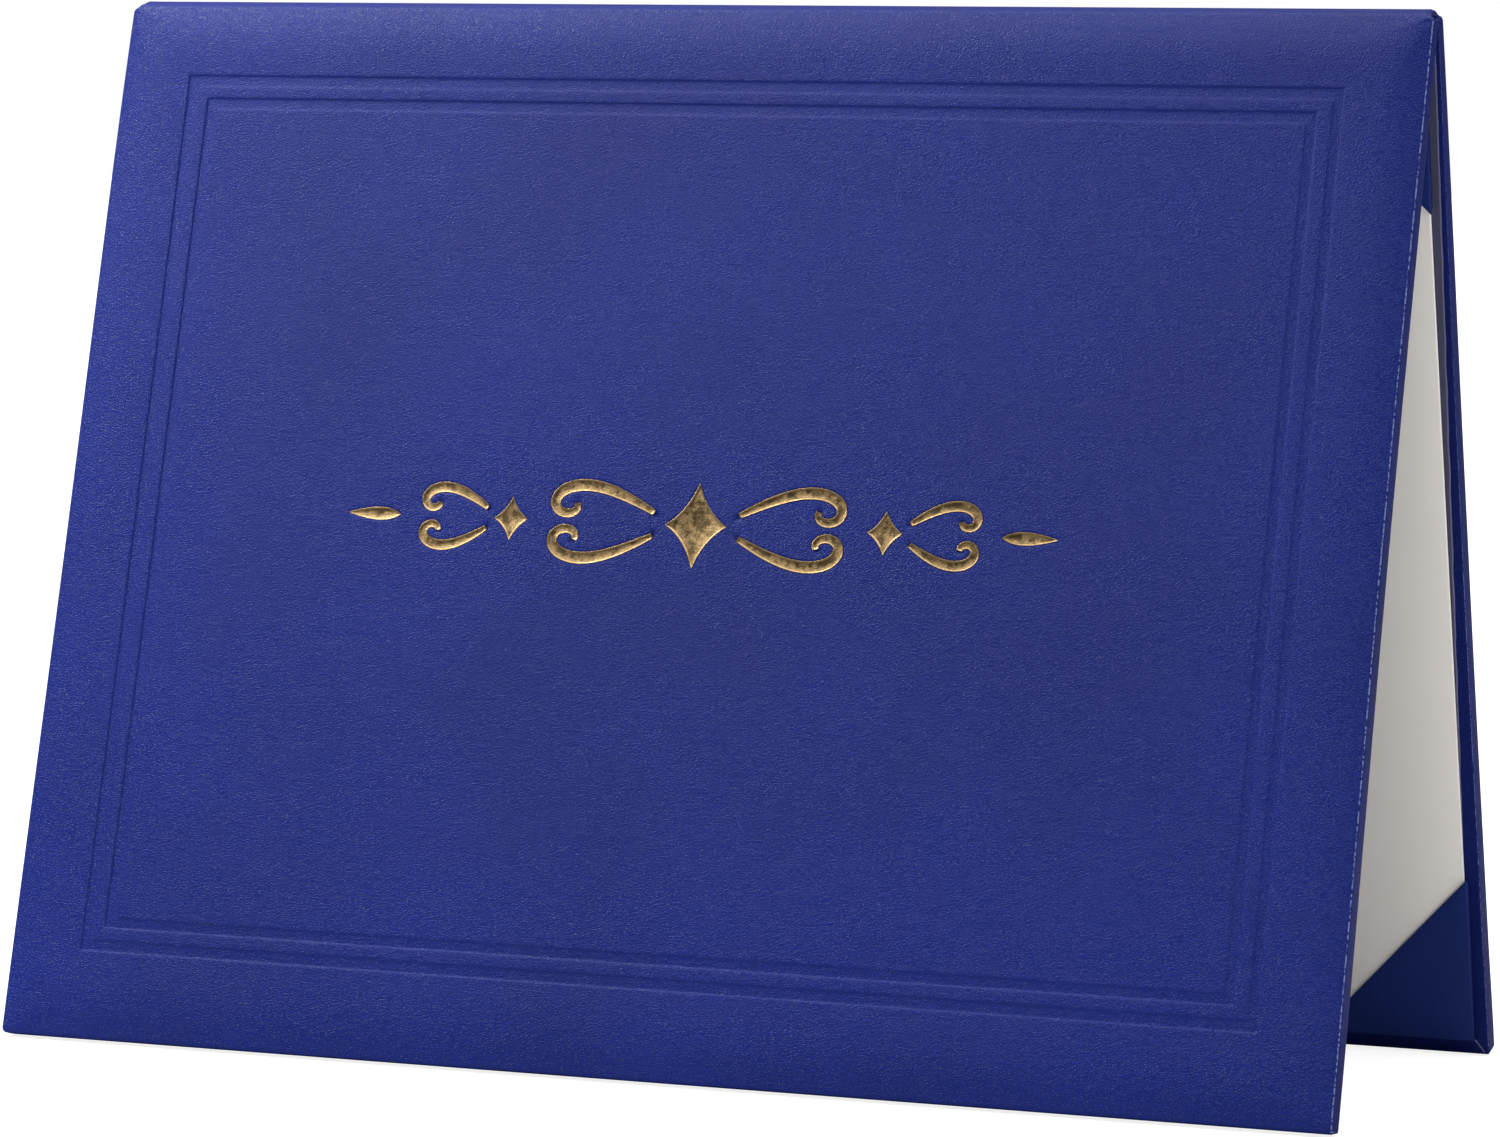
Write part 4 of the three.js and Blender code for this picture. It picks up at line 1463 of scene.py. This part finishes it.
@dataclass(frozen=True)
class Finish:
    """What every finish has: a name, a colour and a roughness."""

    name: str
    colour: tuple[float, float, float]
    roughness: float

    def start(self) -> tuple[bpy.types.Material, ShaderSheet, bpy.types.Node, bpy.types.NodeSocket]:
        """Makes the material, its sheet, its shader and the surface's own coordinates."""
        material = bpy.data.materials.new(self.name)
        material.use_nodes = True
        material.diffuse_color = (*self.colour, 1.0)
        sheet = ShaderSheet(material.node_tree)
        shader = sheet.node("ShaderNodeBsdfPrincipled")
        shader.inputs["Base Color"].default_value = (*self.colour, 1.0)
        shader.inputs["Roughness"].default_value = self.roughness
        output = sheet.node("ShaderNodeOutputMaterial")
        sheet.join(shader.outputs[0], output.inputs[0])
        place = sheet.node("ShaderNodeTexCoord").outputs["Object"]
        return material, sheet, shader, place

    def effect(
        self, sheet: ShaderSheet, group: bpy.types.NodeTree, place: bpy.types.NodeSocket, **values: float
    ) -> bpy.types.Node:
        """Places a shared effect in a material.

        Args:
            sheet: the material's nodes.
            group: the effect.
            place: the coordinates it works on.
            values: its own values, by input name.

        Returns:
            The group's node.
        """
        made = sheet.node("ShaderNodeGroup", node_tree=group)
        sheet.join(place, made.inputs["Vector"])
        for name, value in values.items():
            made.inputs[name].default_value = value
        return made

    def bump(
        self, sheet: ShaderSheet, shader: bpy.types.Node, height: bpy.types.NodeSocket,
        distance: float, strength: float,
    ) -> None:
        """Presses a height into the shader's normal."""
        made = sheet.node("ShaderNodeBump")
        made.inputs["Distance"].default_value = distance
        made.inputs["Strength"].default_value = strength
        sheet.join(height, made.inputs["Height"])
        sheet.join(made.outputs[0], shader.inputs["Normal"])


@dataclass(frozen=True)
class Leatherette(Finish):
    """Embossed artificial leather with a satin top coat."""

    grain_scale: float = 1900.0
    grain_depth: float = 0.00009
    grain_strength: float = 0.85
    valley_darkness: float = 0.3
    tone_change: float = 0.12
    specular: float = 0.15
    # painted highlight: the pale colour of the dashed glint along the sharp right edges
    edge_glint_colour: tuple[float, float, float] = (0.14, 0.17, 0.36)
    mottle_scale: float = 14.0
    unevenness: float = 0.9
    valley_dullness: float = 0.15

    def build(self) -> bpy.types.Material:
        """Makes the leatherette's material."""
        material, sheet, shader, place = self.start()
        grain = self.effect(sheet, pebble_grain(), place, Scale=self.grain_scale, Unevenness=self.unevenness)
        mottle = self.effect(sheet, soft_mottle(), place, Scale=self.mottle_scale)
        light = tuple(min(1.0, c * (1 + self.tone_change)) for c in self.colour)
        dark = tuple(c * (1 - self.tone_change) for c in self.colour)
        valley = tuple(c * (1 - self.valley_darkness) for c in self.colour)
        tone = sheet.mix(mottle.outputs["Value"], dark, light)
        # painted highlight: pale dashes along the sharp right edges stand in for their glint
        wear_and_glint = self.effect(sheet, painted_edge_glint(), place)
        sheet.join(sheet.node("ShaderNodeNewGeometry").outputs["Normal"], wear_and_glint.inputs["Normal"])
        grained = sheet.mix(grain.outputs["Valley"], tone, valley)
        colour = sheet.mix(wear_and_glint.outputs["Value"], grained, self.edge_glint_colour)
        sheet.join(colour, shader.inputs["Base Color"])
        dull = min(1.0, self.roughness + self.valley_dullness)
        rough = sheet.ramp(grain.outputs["Valley"], 0.0, 1.0, self.roughness, dull)
        sheet.join(rough, shader.inputs["Roughness"])
        shader.inputs["Specular IOR Level"].default_value = self.specular
        self.bump(sheet, shader, grain.outputs["Height"], self.grain_depth, self.grain_strength)
        return material


@dataclass(frozen=True)
class Fibrous(Finish):
    """Card, board, paper and lining sheet."""

    second_colour: tuple[float, float, float] = (0.5, 0.5, 0.5)
    fibre_scale: float = 900.0
    fibre_depth: float = 0.00003
    fibre_strength: float = 0.3
    mottle_scale: float = 11.0
    roughness_spread: float = 0.06

    def build(self) -> bpy.types.Material:
        """Makes the material with fibres in its colour, roughness and surface."""
        material, sheet, shader, place = self.start()
        fibre = self.effect(sheet, paper_fibre(), place, Scale=self.fibre_scale)
        mottle = self.effect(sheet, soft_mottle(), place, Scale=self.mottle_scale)
        share = sheet.math("MULTIPLY", fibre.outputs["Value"], mottle.outputs["Value"])
        sheet.join(sheet.mix(share, self.colour, self.second_colour), shader.inputs["Base Color"])
        low, high = self.roughness - self.roughness_spread, self.roughness + self.roughness_spread
        sheet.join(sheet.ramp(fibre.outputs["Value"], 0.0, 1.0, low, high), shader.inputs["Roughness"])
        self.bump(sheet, shader, fibre.outputs["Value"], self.fibre_depth, self.fibre_strength)
        return material


@dataclass(frozen=True)
class PaleFloor(Fibrous):
    """A floor that looks pale to the camera and dim in reflections."""

    glow: float = 1.4
    glow_share: float = 0.6
    shade_share: float = 0.75

    def build(self) -> bpy.types.Material:
        """Makes the paper-like floor and lays the glow and the shade over it."""
        material = super().build()
        tree = material.node_tree
        shader, output = tree.nodes["Principled BSDF"], tree.nodes["Material Output"]
        sheet = ShaderSheet(tree, keep=True)
        light, choice, ray = (sheet.node(kind) for kind in (
            "ShaderNodeEmission", "ShaderNodeMixShader", "ShaderNodeLightPath"))
        sheet.join(sheet.math("MULTIPLY", ray.outputs["Is Camera Ray"], self.glow), light.inputs["Strength"])
        seen = sheet.math("MULTIPLY", ray.outputs["Is Camera Ray"], self.glow_share)
        mirrored = sheet.math("MULTIPLY", ray.outputs["Is Glossy Ray"], self.shade_share)
        sheet.join(sheet.math("ADD", seen, mirrored), choice.inputs[0])
        sheet.join(shader.outputs[0], choice.inputs[1])
        sheet.join(light.outputs[0], choice.inputs[2])
        sheet.join(choice.outputs[0], output.inputs[0])
        return material


@dataclass(frozen=True)
class Foil(Finish):
    """Hot-stamped gold foil that takes up the leatherette's grain."""

    worn_colour: tuple[float, float, float] = (0.27, 0.18, 0.08)
    grain_scale: float = 1500.0
    grain_depth: float = 0.00003
    grain_strength: float = 0.4
    unevenness: float = 0.9
    mottle_scale: float = 700.0
    polish: float = 0.08
    dulling: float = 0.12

    def build(self) -> bpy.types.Material:
        """Makes the foil's material."""
        material, sheet, shader, place = self.start()
        grain = self.effect(sheet, pebble_grain(), place, Scale=self.grain_scale, Unevenness=self.unevenness)
        mottle = self.effect(sheet, soft_mottle(), place, Scale=self.mottle_scale)
        wear_and_glint = sheet.math("MULTIPLY", grain.outputs["Valley"], mottle.outputs["Value"])
        sheet.join(sheet.mix(wear_and_glint, self.colour, self.worn_colour), shader.inputs["Base Color"])
        shader.inputs["Metallic"].default_value = 1.0
        low, high = self.roughness - self.polish, self.roughness + self.dulling
        sheet.join(sheet.ramp(mottle.outputs["Value"], 0.0, 1.0, low, high), shader.inputs["Roughness"])
        self.bump(sheet, shader, grain.outputs["Height"], self.grain_depth, self.grain_strength)
        return material


@dataclass(frozen=True)
class Foam(Finish):
    """Soft padding foam with open cells."""

    cell_scale: float = 1600.0
    cell_depth: float = 0.0002
    cell_strength: float = 0.8
    shade: float = 0.6

    def build(self) -> bpy.types.Material:
        """Makes the foam's material."""
        material, sheet, shader, place = self.start()
        cells = self.effect(sheet, pebble_grain(), place, Scale=self.cell_scale, Unevenness=1.0)
        shade = tuple(c * self.shade for c in self.colour)
        sheet.join(sheet.mix(cells.outputs["Valley"], self.colour, shade), shader.inputs["Base Color"])
        self.bump(sheet, shader, cells.outputs["Height"], self.cell_depth, self.cell_strength)
        return material


@dataclass(frozen=True)
class SoftLamp:
    """A round soft lamp that points at the cover."""

    name: str
    place: tuple[float, float, float]
    size: float
    power: float
    target: tuple[float, float, float] = (0.0, 0.0, 0.11)

    def build(self) -> None:
        """Makes the lamp."""
        lamp = bpy.data.lights.new(self.name, "AREA")
        lamp.shape, lamp.size, lamp.energy = "DISK", self.size, self.power
        made = bpy.data.objects.new(self.name, lamp)
        made.location = self.place
        aim = Vector(self.target) - Vector(self.place)
        made.rotation_euler = aim.to_track_quat("-Z", "Y").to_euler()
        bpy.context.scene.collection.objects.link(made)


@dataclass(frozen=True)
class Studio:
    """A pale floor, a soft light dome, soft lamps and the camera."""

    camera_position: tuple[float, float, float] = (462.27, -1181.87, 189.61)
    yaw_degrees: float = 21.434
    pitch_degrees: float = 3.985
    roll_degrees: float = 0.886
    focal_pixels: float = 6013.8
    image_width: int = 1500
    sensor_width: float = 36.0
    floor_tone: float = 0.9
    floor_radius: float = 30.0
    floor_steps: int = 64
    floor_clearance: float = 0.0004
    dome_low: float = 0.0
    dome_high: float = 3.75
    dome_rise: tuple[float, float] = (0.5, 1.0)
    lamps: tuple[SoftLamp, ...] = (
        SoftLamp("key_lamp", (-0.47, -0.27, 0.45), 0.25, 2.9),
        SoftLamp("top_lamp", (-0.33, -0.05, 0.62), 0.25, 2.8),
        SoftLamp("edge_lamp", (1.1, -0.42, 0.4), 0.22, 1.0),
    )

    def build_camera(self) -> None:
        """Makes the camera at the photograph's place and angle."""
        turns = (self.yaw_degrees, self.pitch_degrees, self.roll_degrees)
        yaw, pitch, roll = (math.radians(turn) for turn in turns)
        ahead = Vector((-math.sin(yaw), math.cos(yaw), 0.0))
        level = Vector((math.cos(yaw), math.sin(yaw), 0.0))
        forward = ahead * math.cos(pitch) - Vector((0.0, 0.0, math.sin(pitch)))
        upright = level.cross(forward)
        right = level * math.cos(roll) + upright * math.sin(roll)
        above = upright * math.cos(roll) - level * math.sin(roll)
        lens = bpy.data.cameras.new("photo_camera")
        lens.sensor_fit = "HORIZONTAL"
        lens.sensor_width = self.sensor_width
        lens.lens = self.focal_pixels / self.image_width * self.sensor_width
        lens.clip_start, lens.clip_end = 0.05, 100.0
        camera = bpy.data.objects.new("photo_camera", lens)
        matrix = Matrix((right, above, -forward)).transposed().to_4x4()
        matrix.translation = Vector(self.camera_position) * MM
        camera.matrix_world = matrix
        bpy.context.scene.collection.objects.link(camera)
        bpy.context.scene.camera = camera

    def build_floor(self) -> None:
        """Makes the wide pale floor."""
        angle = np.linspace(0, 2 * math.pi, self.floor_steps, endpoint=False)
        radius, height = self.floor_radius, np.full(self.floor_steps, -self.floor_clearance)
        draft = MeshDraft("studio_floor")
        draft.cap(draft.add(np.column_stack([np.cos(angle) * radius, np.sin(angle) * radius, height])))
        tone, second = self.floor_tone, self.floor_tone - 0.02
        finish = PaleFloor("pale floor", (tone,) * 3, 0.8, (second,) * 3, 60.0, 0.0001, 0.05)
        draft.build(finish.build())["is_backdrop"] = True

    def build_lights(self) -> None:
        """Makes the dome, which is brighter overhead and plain white to the camera, and the lamps."""
        world = bpy.data.worlds.new("studio_dome")
        world.use_nodes = True
        sheet = ShaderSheet(world.node_tree)
        place = sheet.node("ShaderNodeTexCoord").outputs["Generated"]
        split = sheet.node("ShaderNodeSeparateXYZ")
        sheet.join(place, split.inputs[0])
        height = sheet.ramp(split.outputs["Z"], *self.dome_rise, self.dome_low, self.dome_high)
        dome, plain = sheet.node("ShaderNodeBackground"), sheet.node("ShaderNodeBackground")
        dome.inputs[0].default_value = plain.inputs[0].default_value = (1.0, 1.0, 1.0, 1.0)
        sheet.join(height, dome.inputs[1])
        choice, output = sheet.node("ShaderNodeMixShader"), sheet.node("ShaderNodeOutputWorld")
        sheet.join(sheet.node("ShaderNodeLightPath").outputs["Is Camera Ray"], choice.inputs[0])
        sheet.join(dome.outputs[0], choice.inputs[1])
        sheet.join(plain.outputs[0], choice.inputs[2])
        sheet.join(choice.outputs[0], output.inputs[0])
        bpy.context.scene.world = world
        bpy.context.scene.view_settings.view_transform = "Standard"
        for lamp in self.lamps:
            lamp.build()


@dataclass(frozen=True)
class DiplomaCover:
    """All pieces of the diploma cover with their finishes."""

    front_skin_level: float = 0.6
    back_skin_level: float = 2.3
    back_right_drift: Pairs = (
        (0.0, -1.07), (31.0, -1.02), (69.0, -0.8), (112.0, -0.47), (157.0, -0.26), (203.0, 0.0),
        (222.0, 0.25),
    )
    leather: Leatherette = Leatherette("royal blue leatherette", (0.0022, 0.0105, 0.127), 0.36)
    pocket_leather: Leatherette = Leatherette(
        "dark blue leatherette", (0.006, 0.021, 0.15), 0.6, grain_scale=2400.0, grain_depth=0.00003,
        grain_strength=0.35,
    )
    lining: Fibrous = Fibrous("violet grey lining", (0.05, 0.05, 0.11), 0.7, (0.075, 0.075, 0.14), 1100.0)
    raw_edge: Fibrous = Fibrous("raw cut edge", (0.12, 0.12, 0.22), 0.75, (0.17, 0.16, 0.27), 1600.0)
    raw_rim: float = 0.26
    lining_levels: tuple[float, float] = (0.33, 2.03)
    lining_thickness: float = 0.2
    panel_levels: tuple[float, float] = (0.7, 1.6)
    card: Fibrous = Fibrous("white card", (0.82, 0.78, 0.735), 0.75, (0.85, 0.81, 0.765), 700.0, 0.00001, 0.2)
    board: Fibrous = Fibrous("grey board", (0.24, 0.23, 0.21), 0.9, (0.36, 0.35, 0.32), 500.0, 0.0001, 0.6)
    foam: Foam = Foam("padding foam", (0.7, 0.68, 0.63), 0.95)
    foil: Foil = Foil("gold foil", (0.37, 0.255, 0.125), 0.36)

    def build_covers(self, skin: bpy.types.Material) -> tuple[CoverForm, CoverForm]:
        """Makes both padded covers, their pads and the foil stamp."""
        front = CoverForm(Cover.FRONT, self.front_skin_level)
        back = CoverForm(Cover.BACK, self.back_skin_level, right_drift=self.back_right_drift)
        ornament = FoilOrnament()
        foam = self.foam.build()
        for form, frame_lines, stamp in ((front, PressedFrame(), ornament), (back, None, None)):
            side = form.cover.value
            cover = LeatherCover(form, frame_lines, stamp)
            pad = cover.build_pad(f"{side}_padding", foam)
            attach(pad, side)
            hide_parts(f"{side}_foam_pad")
            piece = cover.build_skin(f"{side}_leatherette", skin)
            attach(piece, side)
            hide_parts(f"{side}_cover_skin")
            self.declare_skin(piece, cover, pad)
            LOG.info("%s: %d faces", piece.name, len(piece.data.polygons))
        patches = ornament.build(front, self.foil.build())
        LOG.info("foil: %d patches", len(patches))
        return front, back

    def declare_skin(self, piece: bpy.types.Object, cover: LeatherCover, pad: bpy.types.Object) -> None:
        """Works out the length of the sheet that a cover's leatherette was cut from, and does not use it."""
        form = cover.form
        side = form.shoulder_at_foot + cover.turn_in
        length = (form.length - form.spine_gap + side + form.shoulder_at_spine + cover.turn_in_at_spine) * MM

    def build_spine(
        self, front: CoverForm, back: CoverForm, skin: bpy.types.Material, lining: bpy.types.Material
    ) -> None:
        """Makes the two sheets that bend across the hinge."""
        wrap = SpineWrap(front, back)
        piece = wrap.build(skin)
        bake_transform(piece)
        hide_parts("spine_skin")
        flat = (2 * wrap.half_length * MM, round(wrap.arc_length(), 5))
        strip = SpineLining()
        piece = strip.build(lining)
        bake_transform(piece)
        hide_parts("spine_lining")
        LOG.info("spine wrap, %.1f x %.1f mm flat, and lining made", flat[0] / MM, flat[1] / MM)

    def build_inside(self, lining: bpy.types.Material, forms: Sequence[CoverForm]) -> None:
        """Makes the linings, the folded corner edges, the white panel and its corner pockets."""
        layout, raw = InsideLayout(), self.raw_edge.build()
        for form, near in zip(forms, self.lining_levels):
            side = form.cover.value
            far = near + self.lining_thickness
            sheet = InnerPlate(
                f"{side}_lining_sheet", form.cover, layout.lining(), near, far, rounding=0.07,
                edge_step=1.6, edge_waver=0.1, face_waver=0.04, raw_rim=self.raw_rim,
            )
            piece = sheet.build(lining, raw)
            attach(piece, side)
            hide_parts(f"{side}_lining")
            piece = FoldedCorners(form).build(raw)
            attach(piece, side)
        near, far = self.panel_levels
        panel = InnerPlate(
            "white_panel", Cover.BACK, layout.panel(), near, far, rounding=0.16, edge_step=4.0,
            fill_step=12.0,
        )
        piece = panel.build(self.card.build())
        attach(piece, "back")
        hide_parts("back_panel")
        pocket_skin = self.pocket_leather.build()
        for corner in Corner:
            pocket = CornerPocket(corner, layout.panel_corner(corner))
            piece = pocket.build(pocket_skin)
            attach(piece, "back")
            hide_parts(corner.value[2])
        LOG.info("linings, panel and pockets made")

    def dress_boards(self) -> None:
        """Gives the two stiff boards, which keep their own meshes, the grey board's finish."""
        board = self.board.build()
        for name in ("front_board", "back_board"):
            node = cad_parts[name]
            if node.material_slots:
                for place in node.material_slots:
                    place.material = board
            else:
                node.data.materials.append(board)
        LOG.info("boards dressed")

    def build(self) -> None:
        """Makes every piece in order."""
        skin = self.leather.build()
        lining = self.lining.build()
        front, back = self.build_covers(skin)
        self.build_spine(front, back, skin, lining)
        self.build_inside(lining, (front, back))
        self.dress_boards()


def main() -> None:
    """Makes the studio and the diploma cover."""
    logging.basicConfig(level=logging.INFO, format="%(message)s")
    studio = Studio()
    studio.build_camera()
    studio.build_floor()
    studio.build_lights()
    DiplomaCover().build()
    boxes = {"cad": cad_box, "visual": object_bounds()}
    {name: [[float(v) for v in corner] for corner in box] for name, box in boxes.items()}


if __name__ == "__main__":
    main()
